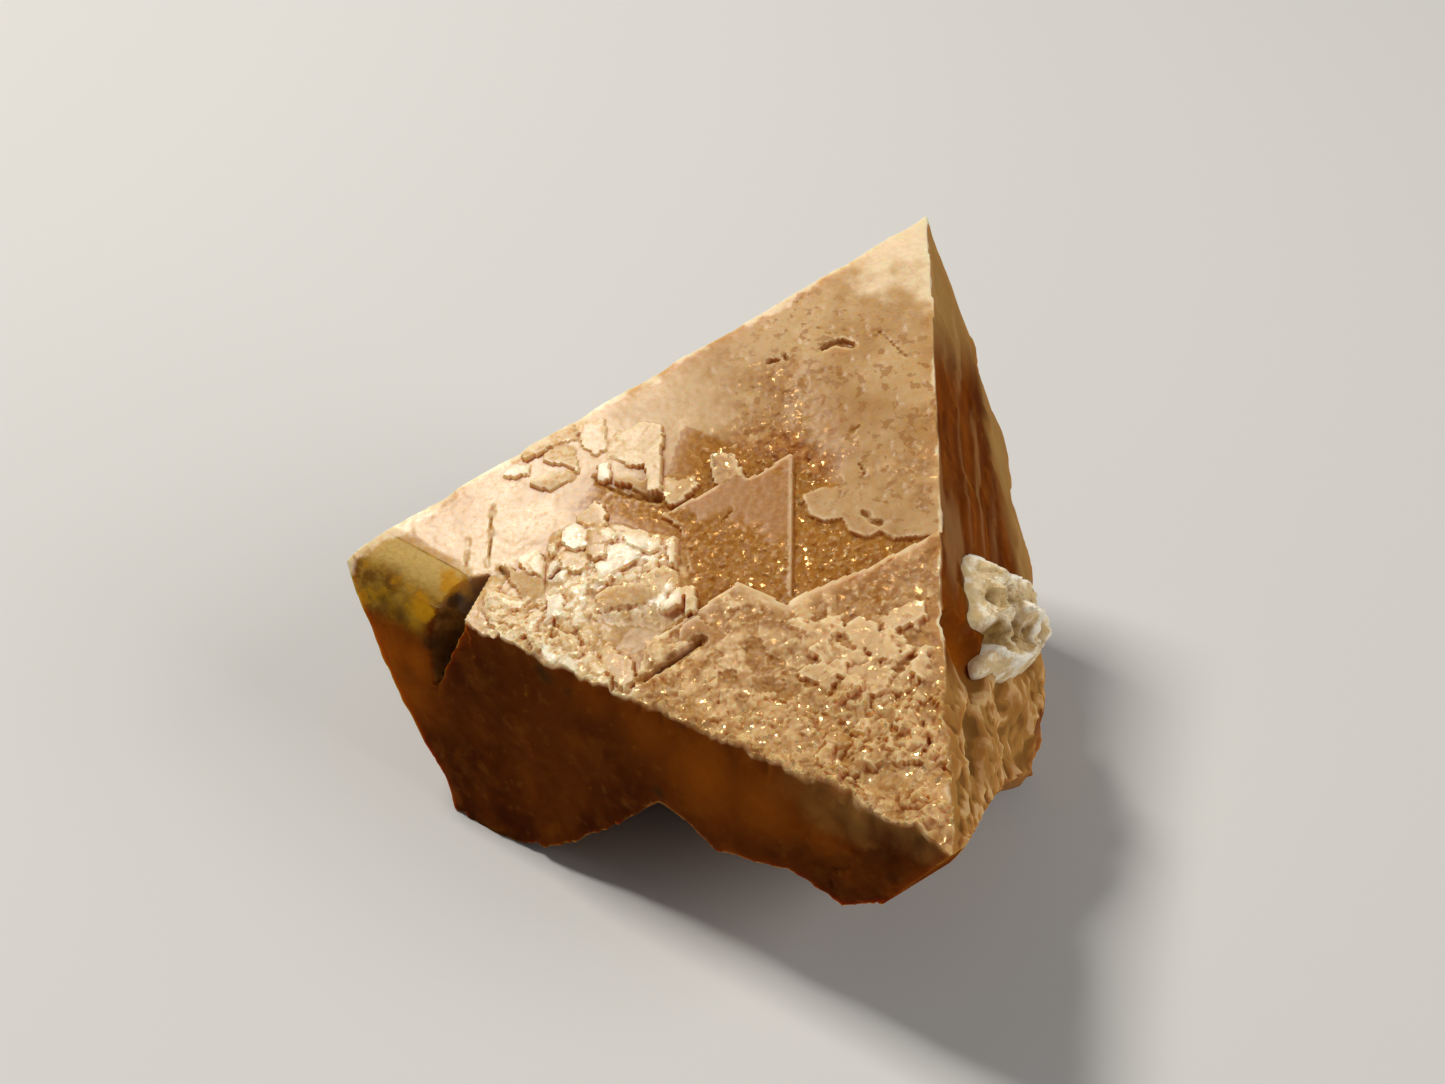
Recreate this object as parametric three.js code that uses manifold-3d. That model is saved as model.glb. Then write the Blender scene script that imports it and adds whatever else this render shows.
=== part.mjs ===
// A scheelite crystal: the upper half of one pseudo-octahedral crystal, broken from its matrix, that rests on
// the lobes of its broken base. Its large top face carries stepped growth plates, blocks and pits; a groove
// parts a bevelled nose from the rest; a pale mica crust sits in a seat on the right-hand face.
// Units are millimetres and +Z is up. The origin is the middle of the footprint, on the resting plane.

import * as THREE from 'three';
import { ConvexGeometry } from 'three/addons/geometries/ConvexGeometry.js';
import { mergeVertices } from 'three/addons/utils/BufferGeometryUtils.js';
import Module from 'manifold-3d';

const wasm = await Module();
wasm.setup();

// ---- Driving dimensions -------------------------------------------------------------------------

const HALF_WIDTH = 25;                                // heart of the crystal to each of four equal corners
const AXIS_RATIO = 1.0848;                            // long half-axis over short half-axis of the dipyramid
const FRONT_REACH = 0.8;                              // the front corner grew this much further out
const LEAN = 36.72;                                   // degrees that the long axis leans from upright
const LEAN_TOWARDS = 57.16;                           // compass of that lean, from +X towards +Y
const TURN = 134.52;                                  // turn of the crystal about its own long axis
const HEART = new THREE.Vector3(3.36, 1.3, 2.95);     // heart of the crystal over the middle of the footprint

const SIDE_BREAK = 18.4;                              // x of the rough break that takes the right corner off
const SEAT_DEPTH = 0.8;                               // depth of the crust's seat under the right-hand face
const CRUST_GAP = 0.3;                                // clear gap between crust and seat

const radians = THREE.MathUtils.degToRad;

// ---- Small tools --------------------------------------------------------------------------------

// A fixed sequence of numbers between 0 and 1, the same on every run.
function makeDice(seed) {
  let state = seed;
  return () => {
    state = (state * 16807) % 2147483647;
    return state / 2147483647;
  };
}

function toSolid(geometry) {
  const bare = geometry.clone();
  bare.deleteAttribute('normal');
  bare.deleteAttribute('uv');
  const welded = mergeVertices(bare, 1e-4);
  return new wasm.Manifold(new wasm.Mesh({
    numProp: 3,
    vertProperties: new Float32Array(welded.attributes.position.array),
    triVerts: new Uint32Array(welded.index.array),
  }));
}

function toMesh(name, solid, material) {
  const { vertProperties, triVerts } = solid.getMesh();
  const geometry = new THREE.BufferGeometry();
  geometry.setAttribute('position', new THREE.BufferAttribute(new Float32Array(vertProperties), 3));
  geometry.setIndex(new THREE.BufferAttribute(new Uint32Array(triVerts), 1));
  geometry.computeVertexNormals();
  const mesh = new THREE.Mesh(geometry, material);
  mesh.name = name;
  return mesh;
}

// Everything on the outer side of a plane, as a block large enough to cut any part of the crystal.
function beyond(point, normal) {
  const size = 200;
  const block = new THREE.BoxGeometry(size, size, size);
  block.translate(0, 0, size / 2);
  const turn = new THREE.Quaternion().setFromUnitVectors(new THREE.Vector3(0, 0, 1), normal);
  block.applyMatrix4(new THREE.Matrix4().makeRotationFromQuaternion(turn).setPosition(point));
  return toSolid(block);
}

// A block whose upper side is a relief: a grid of facets at height(x, y), thick enough to cut with.
function reliefBlock([x0, x1], [y0, y1], cell, height, thickness = 60) {
  const block = new THREE.BoxGeometry(x1 - x0, y1 - y0, 2,
    Math.round((x1 - x0) / cell), Math.round((y1 - y0) / cell), 1);
  block.translate((x0 + x1) / 2, (y0 + y1) / 2, 0);
  const points = block.attributes.position;
  for (let i = 0; i < points.count; i += 1) {
    const top = points.getZ(i) > 0;
    points.setZ(i, top ? height(points.getX(i), points.getY(i)) : -thickness);
  }
  return toSolid(block);
}

// A crystal face with oblique rulers along the two edges that leave one of its corners.
// Seen from outside, corner, first and second run anticlockwise.
class Face {
  constructor(corner, first, second) {
    this.corner = corner;
    this.along = first.clone().sub(corner).normalize();
    this.across = second.clone().sub(corner).normalize();
    this.out = this.along.clone().cross(this.across).normalize();
    this.side = this.out.clone().cross(this.along);
    this.cosine = this.along.dot(this.across);
    this.sine = this.side.dot(this.across);
    this.matrix = new THREE.Matrix4().makeBasis(this.along, this.side, this.out).setPosition(corner);
  }

  flat(p, q) {
    return new THREE.Vector2(p + q * this.cosine, q * this.sine);
  }

  at(p, q, height = 0) {
    const { x, y } = this.flat(p, q);
    return new THREE.Vector3(x, y, height).applyMatrix4(this.matrix);
  }

  // A plate on the face: its outline in the face's rulers, then its underside and top over the face.
  plate(outline, bottom, top) {
    const shape = new THREE.Shape(outline.map(([p, q]) => this.flat(p, q)));
    const slab = new THREE.ExtrudeGeometry(shape, { depth: top - bottom, bevelEnabled: false });
    slab.translate(0, 0, bottom);
    return toSolid(slab.applyMatrix4(this.matrix));
  }

  // A small block grown parallel to the face's edges, tipped a little so that it stands proud.
  block(p, q, length, width, rise, tipAlong, tipAcross) {
    const outline = [[0, 0], [length, 0], [length, width], [0, width]];
    const shape = new THREE.Shape(outline.map(([u, v]) => this.flat(u, v)));
    const slab = new THREE.ExtrudeGeometry(shape, { depth: rise + 1.2, bevelEnabled: false });
    slab.translate(-length / 2, -width / 2, -1.2);
    slab.rotateX(radians(tipAlong));
    slab.rotateY(radians(tipAcross));
    const { x, y } = this.flat(p, q);
    slab.translate(x, y, 0);
    return toSolid(slab.applyMatrix4(this.matrix));
  }

  // A pit or a grain: a low pyramid that points into or out of the surface at the given level over the face,
  // radius wide where it meets that surface. Its base lies past it, so a grain is rooted and a pit is open.
  pyramid(p, q, level, radius, height, sides, turn, base) {
    const length = Math.abs(height) + base;
    const cone = new THREE.ConeGeometry(radius * length / Math.abs(height), length, sides);
    cone.rotateY(turn);
    cone.rotateX(height > 0 ? Math.PI / 2 : -Math.PI / 2);
    cone.translate(0, 0, level + Math.sign(height) * (length / 2 - base));
    const { x, y } = this.flat(p, q);
    cone.translate(x, y, 0);
    return toSolid(cone.applyMatrix4(this.matrix));
  }
}

function joinAll(solids) {
  return solids.reduce((whole, piece) => whole.add(piece));
}

// ---- The crystal's corners and faces ------------------------------------------------------------

const lie = new THREE.Matrix4()
  .makeRotationZ(radians(LEAN_TOWARDS))
  .multiply(new THREE.Matrix4().makeRotationY(radians(LEAN)))
  .multiply(new THREE.Matrix4().makeRotationZ(radians(TURN)));

const corner = (x, y, z) => new THREE.Vector3(x, y, z).applyMatrix4(lie).add(HEART);
const PEAK = corner(0, 0, HALF_WIDTH * AXIS_RATIO);
const ROOT = corner(0, 0, -HALF_WIDTH * AXIS_RATIO);
const NOSE = corner(HALF_WIDTH, 0, 0);
const RIGHT = corner(-HALF_WIDTH, 0, 0);
const BACK = corner(0, -HALF_WIDTH, 0);
const FRONT = corner(0, HALF_WIDTH, 0);
const TIP = FRONT.clone().addScaledVector(FRONT.clone().sub(NOSE).normalize(), FRONT_REACH);

// Rulers: the top face from FRONT towards PEAK (t) and NOSE (s); the front face from FRONT towards NOSE and
// ROOT; the right face from TIP towards RIGHT and PEAK; the two hidden faces from PEAK.
const topFace = new Face(FRONT, PEAK, NOSE);
const frontFace = new Face(FRONT, NOSE, ROOT);
const rightFace = new Face(TIP, RIGHT, PEAK);
const backLeftFace = new Face(PEAK, BACK, NOSE);
const backRightFace = new Face(PEAK, RIGHT, BACK);

const onTop = (s, t, height = 0) => topFace.at(t, s, height);
const topPlate = (outline, bottom, top) => topFace.plate(outline.map(([s, t]) => [t, s]), bottom, top);

// ---- Broken surfaces ----------------------------------------------------------------------------

// Rim of the broken base along the front, as [x, height over the resting plane].
const FRONT_RIM = [
  [-22, 0], [-9.5, 0], [-7.1, 1.5], [-5.3, 3.6], [-3.9, 5.3], [-2.2, 7.9], [-0.7, 7.5], [0.8, 6.5],
  [4.1, 7.6], [6.7, 7.1], [8.5, 8.6], [10.2, 10.6], [11.8, 12.6], [13.2, 11], [14.8, 9.1], [16, 7.4],
  [17.1, 6], [22, 5],
];
const FEET = [[-10.6, -5.6], [-2.4, 15], [14.4, -0.4]];    // lobes that touch the resting plane, as [x, y]
const FOOT_RADIUS = 3;
const FOOT_SLOPE = 3;               // distance over which the hollow between the feet reaches its full depth
const FOOT_LINE = -4.5;             // y where the base starts to rise towards its front rim
const HOLLOW = 1.5;                 // mean clearance under the base between its feet
const HACKLE = 0.75;                // roughness of the broken surfaces
const BASE_CELL = 1.6;              // facet sizes of the two broken surfaces
const SIDE_CELL = 2.4;

const { clamp } = THREE.MathUtils;

function rimHeight(x) {
  const next = Math.max(1, FRONT_RIM.findIndex(([edge]) => edge >= x));
  const [[x0, z0], [x1, z1]] = [FRONT_RIM[next - 1], FRONT_RIM[next]];
  return z0 + (z1 - z0) * clamp((x - x0) / (x1 - x0), 0, 1);
}

// Where the rim lies: on the front face or, further right, on the right face.
function rimY(x) {
  const z = rimHeight(x);
  const onFaces = [frontFace, rightFace].map(({ corner: { x: x0, y: y0, z: z0 }, out }) => (
    y0 - (out.x * (x - x0) + out.z * (z - z0)) / out.y));
  return Math.min(Math.max(...onFaces), FOOT_LINE - 1);
}

// The base falls from its front rim to the resting plane, and is hollow between its feet.
function baseHeight(x, y) {
  const rise = clamp((FOOT_LINE - y) / (FOOT_LINE - rimY(x)), 0, 1.15) ** 1.2;
  const hackle = Math.sin(0.9 * x + 0.4 * y) * Math.sin(0.35 * x - 1.1 * y + 1)
    + 0.5 * Math.sin(1.9 * x + 1.3 * y);
  const clear = Math.min(...FEET.map(([fx, fy]) => Math.hypot(x - fx, y - fy))) - FOOT_RADIUS;
  const hollow = clamp(clear / FOOT_SLOPE, 0, 1) * (HOLLOW + HACKLE * hackle);
  return Math.max(rimHeight(x) * rise, hollow * (1 - Math.min(rise, 1)));
}

// The side break is nearly upright and curves in towards the front and the back.
function sideBreakX(y, z) {
  const curve = 0.016 * (y + 0.8) ** 2;
  const hackle = 0.33 * Math.sin(0.8 * y + 0.5 * z) + 0.27 * Math.sin(1.1 * z - 0.6 * y);
  return SIDE_BREAK - curve + HACKLE * hackle;
}

function brokenCrystal() {
  const corners = [PEAK, NOSE, TIP, ROOT, RIGHT, BACK];
  const whole = toSolid(new ConvexGeometry(corners));
  const base = reliefBlock([-26, 30], [-28, 28], BASE_CELL, baseHeight);
  const sideOn = new THREE.Matrix4().makeRotationY(-Math.PI / 2);
  const side = reliefBlock([-12, 33.6], [-24, 24], SIDE_CELL, (z, y) => -sideBreakX(y, z));
  return whole.subtract(base).subtract(side.transform(sideOn.elements));
}

// ---- The top face -------------------------------------------------------------------------------

const RECESS_DEPTH = 0.2;
const LOW_PLATE = 0.15;
const HIGH_PLATE = 0.4;
const CLUSTER_RISE = 0.4;

// Outlines on the top face as [s, t]. Their straight edges run parallel to the crystal's own edges.
const recess = [
  [4.4, 21.6], [7, 25.6], [10.6, 22.6], [12.6, 19.6], [14.6, 16.6], [15.4, 13.2], [19.6, 11.6], [20.6, 9.2],
  [16.6, 9.4], [-0.8, 9.4], [-0.6, 16.4], [0.8, 15.8], [2.1, 15.2], [2.8, 15.3], [3.4, 14.7], [4.7, 14.6],
  [5, 15.1], [6.1, 14.5], [6.9, 14.6], [7.3, 15.6], [6.2, 16.4], [5, 17], [4.4, 18], [3.4, 18.8],
];
const lowPlate = [
  [7.9, 17.8], [7.5, 3], [15.6, 3], [13.2, 7], [14.3, 10.6], [15.5, 10.9], [10.8, 15.4], [10.5, 15.1],
];
const highTerrace = [
  [0, 16], [3.3, 12.9], [7.6, 9.3], [7.9, 8.8], [10.7, 8.9], [13.8, 5.3], [15.6, 3.4], [16.6, 0.2], [0.1, 0.2],
];
const clusterBed = [
  [22.2, 7.2], [20.4, 8.2], [17.6, 9.6], [14.4, 9.9], [13.2, 6.3], [14.9, 4.6], [20.6, 2.7], [22.4, 4.2],
];

// Plates and blocks that stand on the top face: the height of the top over the face and the outline.
const PLATE_GAP = 0.06;             // hair line between plates that touch at a corner
const PLATES = [
  { top: 0.12, outline: [[24.3, 11.7], [22.5, 13.5], [21.5, 14.4], [20.9, 13.5], [22.3, 12.7],
    [23.3, 11.5], [24.3, 10.8]] },
  { top: 0.15, outline: [[21.4, 14.4], [19.5, 15.3], [19.1, 13.7], [19.8, 12.7], [20.6, 13], [21, 13.5]] },
  { top: 0.24, outline: [[19.2, 14.2], [17, 16.1], [15.8, 16.4], [15.7, 13.2], [15.6, 12.3], [16.3, 12],
    [16.8, 13.3], [17.5, 13.1], [18.5, 13.2], [19.1, 13.1]] },
  { top: 0.26, outline: [[18.5, 12], [17.5, 12.4], [16.6, 12.6], [15.6, 12.9], [15.5, 12.2],
    [16.3, 11.8], [17.6, 11.7], [18.4, 11.6]] },
  { top: 0.3, outline: [[19.6, 12.3], [18.9, 12.7], [18.6, 11.7], [19.4, 11.4]] },
  { top: 0.17, outline: [[22.2, 12.6], [21.3, 12.8], [20.5, 11.7], [20.6, 11.4], [21.5, 11.6],
    [22.6, 11.3], [23.1, 11.5]] },
  { top: 0.19, outline: [[23.6, 9.6], [22.6, 10.5], [21.1, 11.4], [21, 11], [21.7, 10.2], [22.3, 9.7],
    [23.1, 9.5]] },
  { top: 0.22, outline: [[25.4, 9.3], [24.7, 10.3], [23.8, 10.6], [23.8, 10.1], [24.8, 9.4]] },
  { top: 0.12, outline: [[15.6, 13.2], [14.6, 13.5], [13.7, 14.2], [13.3, 13.7], [14.2, 12.2],
    [15, 11.6], [15.5, 12.3]] },
  { top: 0.16, outline: [[12.9, 15.6], [12, 16.1], [11.2, 16.4], [11, 15.2], [11.6, 14.5], [12.5, 14.2]] },
  { top: 0.28, outline: [[20.6, 8.6], [19.5, 10], [18.6, 9.8], [18.5, 8.8], [19.9, 8.4]] },
  { top: 0.52, outline: [[16.2, 6.8], [14.9, 7.8], [14.1, 7.9], [14.1, 7.2], [14.9, 6.1], [15.8, 5.5],
    [16.5, 5.9]] },
  { top: 0.57, outline: [[18.8, 4.6], [17.1, 6], [15.9, 6.4], [15.6, 6], [16.1, 5.1], [17.3, 4.7],
    [18.1, 4], [18.7, 4.2]] },
  { top: 0.47, outline: [[21.3, 6.2], [19.6, 6.9], [19.4, 6.2], [19.9, 5.4], [20.8, 5.4]] },
  { top: 0.54, outline: [[19.7, 8.1], [18.5, 8.6], [18.4, 7.1], [19.1, 6.6], [19.6, 6.7]] },
  { top: 0.6, outline: [[21.1, 7.6], [20.5, 8.1], [19.7, 8.1], [19.6, 7.1], [20.3, 6.5], [21.1, 6.6]] },
  { top: 0.59, outline: [[19, 8.2], [18.4, 8.7], [17.8, 8.6], [17.9, 8], [18.4, 8]] },
  { top: 0.57, outline: [[15.8, 9.5], [15.2, 9.6], [15.3, 8.8], [15.9, 8.2], [16.3, 8.2]] },
  { top: 0.62, outline: [[17.6, 8.5], [16.5, 9.5], [15.8, 9.5], [15.7, 8.9], [16.3, 8.1], [17, 8.1]] },
  { top: 0.55, outline: [[18.3, 7.7], [17.6, 8.2], [16.8, 8.4], [16.2, 8.1], [17.1, 7], [17.7, 6.4],
    [18.2, 6.8]] },
  { top: 0.6, outline: [[15, 9.3], [14.4, 9.9], [14.2, 8.3], [14.6, 8.1]] },
  { top: 0.6, outline: [[18.9, 6.4], [18.5, 6.7], [17.7, 6.8], [17.8, 6.3], [18.5, 5.8], [18.9, 6]] },
  { top: 0.54, outline: [[19.4, 5.5], [17.9, 6.2], [17.9, 5.6], [19.2, 5.2]] },
  { top: 0.54, outline: [[16.2, 7.4], [15.4, 8], [15.3, 7.5], [16.1, 7.1]] },
  { top: 0.62, outline: [[15, 5.6], [14.1, 6.9], [13.7, 7.1], [13.7, 6.2], [14.8, 5.3]] },
  { top: 0.64, outline: [[13.7, 7.2], [13, 7.7], [12.9, 6.2], [13.5, 5.7]] },
  { top: 0.47, outline: [[23.7, 4.9], [22.6, 5.8], [22.1, 5.6], [22, 4.4], [22.9, 4.2], [23.7, 4.5]] },
  { top: 0.45, outline: [[21.7, 3.4], [20.8, 3.9], [20.5, 3.6], [20.9, 2.5], [21.8, 1.6], [21.6, 2.6]] },
  { top: 0.51, outline: [[22, 6.2], [21.4, 6.6], [21.4, 6.1], [21.8, 5.7]] },
  { top: 0.34, outline: [[20.2, 4.4], [19.6, 5], [18.7, 4.1], [18.6, 3.5], [19.5, 3.3]] },
  { top: 0.22, outline: [[24.7, 4], [22.1, 4.5], [21.9, 2.8], [23, 2.8]] },
  { top: 0.34, outline: [[24.8, 2.3], [24, 2.3], [23, 2.5], [23.1, 2.1], [24.1, 1.6]] },
  { top: 0.34, outline: [[18.3, 1.9], [17.8, 2.3], [16.5, 2], [16.1, 1.3], [16.7, 0.2], [17.6, 0.7]] },
  { top: 0.34, outline: [[15.7, 0.1], [15.2, 1.3], [14, 2], [13.3, 2.9], [12.9, 2.8], [14.1, 1.4],
    [12.7, 1.7], [11.8, 1.7], [11.7, 1], [12, 0.5], [13.4, 0.4]] },
  { top: 0.34, outline: [[21.9, 0.4], [21.5, 1], [21.1, 0.6], [20.1, 0.5], [20.1, -0.2], [21, 0.1]] },
  { top: 0.39, outline: [[20.8, 1.8], [19.7, 2], [19.4, 1.6], [19.7, 1], [20.4, 1.2]] },
  { top: 0.52, outline: [[13.8, 5], [12.7, 6.1], [11.8, 5.4], [11.9, 4.7], [12.8, 4.2], [13.7, 4.3]] },
  { top: 0.51, outline: [[4.7, 7], [3.7, 7.5], [2.5, 7.2], [2.2, 6.7], [2.9, 5.7], [3.7, 5.8],
    [4.4, 5.7], [4.8, 6.3]] },
  { top: 0.51, outline: [[7.4, 5.1], [6.5, 6], [5.7, 6.5], [5, 6.1], [5, 5.7], [5.5, 4.9], [6.4, 5.2],
    [6.9, 5]] },
  { top: 0.49, outline: [[7, 7.5], [6.6, 8.4], [5.9, 8.2], [5.3, 8.4], [5, 7.7], [4.9, 7], [5.7, 6.9],
    [6.9, 7]] },
  { top: 0.51, outline: [[2, 7.4], [1.3, 8.2], [0.4, 9.5], [0.1, 8.7], [1.3, 7.4], [1.6, 6.7],
    [2.1, 6.5]] },
  { top: 0.49, outline: [[2.9, 10.1], [1.2, 11.7], [0.3, 12.2], [0.3, 11.2], [1.5, 10.2], [2.4, 9.7]] },
  { top: 0.55, outline: [[4.7, 8.7], [3.9, 9.6], [2.9, 9.7], [2.8, 9.1], [2.2, 9.4], [1.7, 8.8],
    [2, 8.1], [2.9, 7.7], [3.7, 7.9], [4.4, 8.1]] },
  { top: 0.64, outline: [[2.6, 8.8], [2.3, 9.2], [1.7, 8.7], [2, 8], [2.5, 8.3]] },
];

// Blocks and grains are strewn in parallelograms: [s from, s to, t from, t to, how many, size, rise].
const BLOCK_FIELDS = [
  { s: [8, 25], t: [0.4, 2.8], count: 24, size: 1.4, rise: 0.4 },
  { s: [0.8, 6.6], t: [0.8, 4.4], count: 18, size: 1.2, rise: 0.6 },
];
const GRAIN_FIELDS = [
  { s: [1.2, 13.6], t: [17.6, 24.6], level: -RECESS_DEPTH, count: 62, radius: 0.6, height: 0.3 },
  { s: [0.8, 6.8], t: [10.4, 15.6], level: -RECESS_DEPTH, count: 16, radius: 0.5, height: 0.3 },
  { s: [7.6, 14], t: [4.4, 8], level: LOW_PLATE, count: 18, radius: 0.5, height: 0.25 },
  { s: [0.8, 14], t: [0.8, 5], level: HIGH_PLATE, count: 40, radius: 0.6, height: 0.35 },
];
const PIT_SLOPE = 0.9;              // depth of a pit over its radius
const PITS = [[6.5, 25.4, 0.6], [5.1, 25.7, 0.5], [4, 27.1, 0.4], [2.2, 26.8, 0.5], [9.2, 23, 0.5],
  [3.4, 15.5, 0.5], [9, 12.6, 0.4], [21.2, 6.4, 0.7], [12.6, 20.2, 0.4], [7.6, 29.6, 0.35]];

function onFace(s, t) {
  return s > 0.4 && t > 0.2 && s / 35.3 + t / 36.9 < 0.975;
}

function topPlates() {
  return joinAll([
    topPlate(lowPlate, -1, LOW_PLATE),
    topPlate(highTerrace, -1, HIGH_PLATE),
    topPlate(clusterBed, -1, CLUSTER_RISE),
    ...PLATES.map(({ top, outline }) => topPlate(grown(outline, -PLATE_GAP / 2), -1, top)),
  ]);
}

function topBlocks() {
  const dice = makeDice(4102);
  const blocks = [];
  for (const field of BLOCK_FIELDS) {
    for (let i = 0; i < field.count; i += 1) {
      const s = field.s[0] + dice() * (field.s[1] - field.s[0]);
      const t = field.t[0] + dice() * (field.t[1] - field.t[0]);
      const length = field.size * (0.55 + 0.75 * dice());
      const width = field.size * (0.55 + 0.75 * dice());
      const rise = field.rise * (0.6 + 0.8 * dice());
      const tips = [14 * dice() - 7, 14 * dice() - 7];
      if (onFace(s, t)) blocks.push(topFace.block(t, s, length, width, rise, ...tips));
    }
  }
  return joinAll(blocks);
}

function topGrains() {
  const dice = makeDice(977);
  const grains = [];
  for (const field of GRAIN_FIELDS) {
    for (let i = 0; i < field.count; i += 1) {
      const s = field.s[0] + dice() * (field.s[1] - field.s[0]);
      const t = field.t[0] + dice() * (field.t[1] - field.t[0]);
      const radius = field.radius * (0.6 + 0.8 * dice());
      const height = field.height * (0.5 + dice());
      const grain = topFace.pyramid(t, s, field.level, radius, height, 5, 6 * dice(), 0.15);
      if (onFace(s, t)) grains.push(grain);
    }
  }
  return joinAll(grains);
}

function topPits() {
  const dice = makeDice(31);
  return joinAll(PITS.map(([s, t, radius]) => (
    topFace.pyramid(t, s, -RECESS_DEPTH / 2, radius, -PIT_SLOPE * radius, 6, 6 * dice(), 1.6))));
}

// A dark diagonal trench crosses the band along the front ridge.
function trench() {
  return new ConvexGeometry([
    onTop(16.1, 1.1, 1), onTop(12.5, 5.2, 1), onTop(12.1, 4.6, 1), onTop(15.6, 0.7, 1),
    onTop(15.6, 1.4, -0.35), onTop(12.7, 4.6, -0.35),
  ]);
}

// ---- The nose -----------------------------------------------------------------------------------

// Left of the groove the edge between the top and front faces is rounded off by bevels, each a plane that
// starts on a line of constant t and falls away at its own angle from the top face.
const NOSE_BEVELS = [
  { t: 3.1, drop: 0, angle: 13 },
  { t: 1.3, drop: 0.36, angle: 36 },
  { t: 0.2, drop: 1.05, angle: 56 },
];

function noseCuts() {
  const leftOfGroove = beyond(onTop(26.6, 2.2), topFace.along.clone().cross(topFace.out).negate());
  const outwards = topFace.out.clone().cross(onTop(32, 3.4).sub(onTop(26, 3)).normalize());
  const cuts = NOSE_BEVELS.map(({ t, drop, angle }) => {
    const tilt = radians(angle);
    const normal = topFace.out.clone().multiplyScalar(Math.cos(tilt));
    normal.addScaledVector(outwards, Math.sin(tilt)).normalize();
    return beyond(onTop(29, t, -drop), normal).intersect(leftOfGroove);
  });
  return joinAll(cuts);
}

// The groove opens on the top face, crosses the ridge and runs out down the front face.
function groove() {
  return new ConvexGeometry([
    onTop(24.7, 4.2, 0.6), onTop(26.9, 2.9, 0.6), onTop(28.8, -0.9, 0.3), onTop(26.9, -1.2, 0.6),
    frontFace.at(25.6, 6.9, 0.2), frontFace.at(28.9, 1.6, 0.5), frontFace.at(26.6, 1.2, 0.6),
    onTop(26.6, 1.6, -1.9), frontFace.at(26.6, 3.8, -1.3),
  ]);
}

// ---- The right, front and hidden faces ----------------------------------------------------------

const crustOutline = [
  [4.1, 15.6], [5.8, 15], [7.9, 14.5], [11.2, 14], [13.5, 13.3], [14.9, 12.4], [16, 11.4], [16.4, 10.1],
  [15.1, 8.8], [12.8, 8.3], [10.5, 8], [7.7, 8.2], [4.8, 8.7], [5, 9.7], [6.3, 10.5], [4.8, 11], [2.1, 11.5],
  [3.5, 12.3], [3, 13.6], [3.2, 15],
];

// The same outline moved away from its middle by a margin.
function grown(outline, margin) {
  const middle = outline.reduce(([a, b], [p, q]) => [a + p / outline.length, b + q / outline.length], [0, 0]);
  return outline.map(([p, q]) => {
    const reach = Math.hypot(p - middle[0], q - middle[1]);
    const factor = 1 + margin / reach;
    return [middle[0] + (p - middle[0]) * factor, middle[1] + (q - middle[1]) * factor];
  });
}

function crustSeat() {
  return rightFace.plate(grown(crustOutline, 0.7), -SEAT_DEPTH, 6);
}

// Hollows of the crust as [along, up, depth, radius], and its ribs as lines of [along, up] points.
const CRUST_HOLLOWS = [
  [6.2, 10.6, 1, 0.8], [8.4, 10.8, 1, 0.8], [10.2, 10.4, 0.6, 0.6], [12.2, 10.9, 1.1, 1],
  [14.3, 9.2, 0.8, 0.6], [7.3, 12.8, 0.5, 0.7], [5.2, 12.6, 0.4, 0.6],
];
const CRUST_RIBS = [
  [[2.1, 11.6], [3.7, 11.2], [5, 10.2], [6.2, 9.5], [7.4, 9], [9.2, 8.9], [10.8, 9.5], [13.2, 9.9], [15, 10.4]],
  [[4.1, 15.2], [6.4, 14.2], [9, 13.9], [12.4, 13], [14.6, 11.8], [15.7, 10.4]],
  [[8.6, 12], [10.2, 11.6], [11, 10.6], [10.9, 9.6]],
];
const RIB_HEIGHT = 0.5;
const RIB_WIDTH = 0.5;
const CRUST_CELL = 0.6;             // facet size of the crust

function distanceToLine(x, y, line) {
  const steps = line.slice(1).map((end, i) => {
    const [dx, dy] = [end.x - line[i].x, end.y - line[i].y];
    const share = clamp(((x - line[i].x) * dx + (y - line[i].y) * dy) / (dx * dx + dy * dy), 0, 1);
    return Math.hypot(x - line[i].x - share * dx, y - line[i].y - share * dy);
  });
  return Math.min(...steps);
}

const ribLines = CRUST_RIBS.map((line) => line.map(([p, q]) => rightFace.flat(p, q)));

// Height of the crust over the right face: a low crown with its ribs raised and its hollows sunk.
function crustHeight(x, y) {
  const middle = rightFace.flat(9.6, 11.4);
  const crown = Math.max(0, 1 - ((x - middle.x) / 9) ** 2 - ((y - middle.y) / 5) ** 2);
  let height = 0.3 + 0.8 * crown + 0.14 * Math.sin(2.7 * x - 2.1 * y) * Math.sin(2.2 * y + 0.9 * x);
  for (const [p, q, depth, radius] of CRUST_HOLLOWS) {
    const centre = rightFace.flat(p, q);
    height -= depth * Math.exp(-(((x - centre.x) ** 2 + (y - centre.y) ** 2) / radius ** 2));
  }
  const way = Math.min(...ribLines.map((line) => distanceToLine(x, y, line)));
  return Math.max(height, 0.05) + RIB_HEIGHT * Math.exp(-((way / RIB_WIDTH) ** 2));
}

function crust() {
  const relief = reliefBlock([0, 30], [4, 17], CRUST_CELL, crustHeight, 3)
    .transform(rightFace.matrix.elements);
  const outline = rightFace.plate(crustOutline, CRUST_GAP - SEAT_DEPTH, 6);
  const lipX = beyond(new THREE.Vector3(SIDE_BREAK + 0.15, 0, 0), new THREE.Vector3(1, 0, 0));
  return relief.intersect(outline).subtract(lipX);
}

// Shell-shaped chips on the right face below the crust, as [along, up, depth, radius].
const CHIPS = [
  [3, 9.6, 1.1, 3.4], [10.6, 4.6, 0.9, 4.2], [3.6, 5.6, 0.6, 2.6], [9.4, 7, 0.7, 2.4], [13.6, 3.4, 0.9, 3.2],
];

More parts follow.
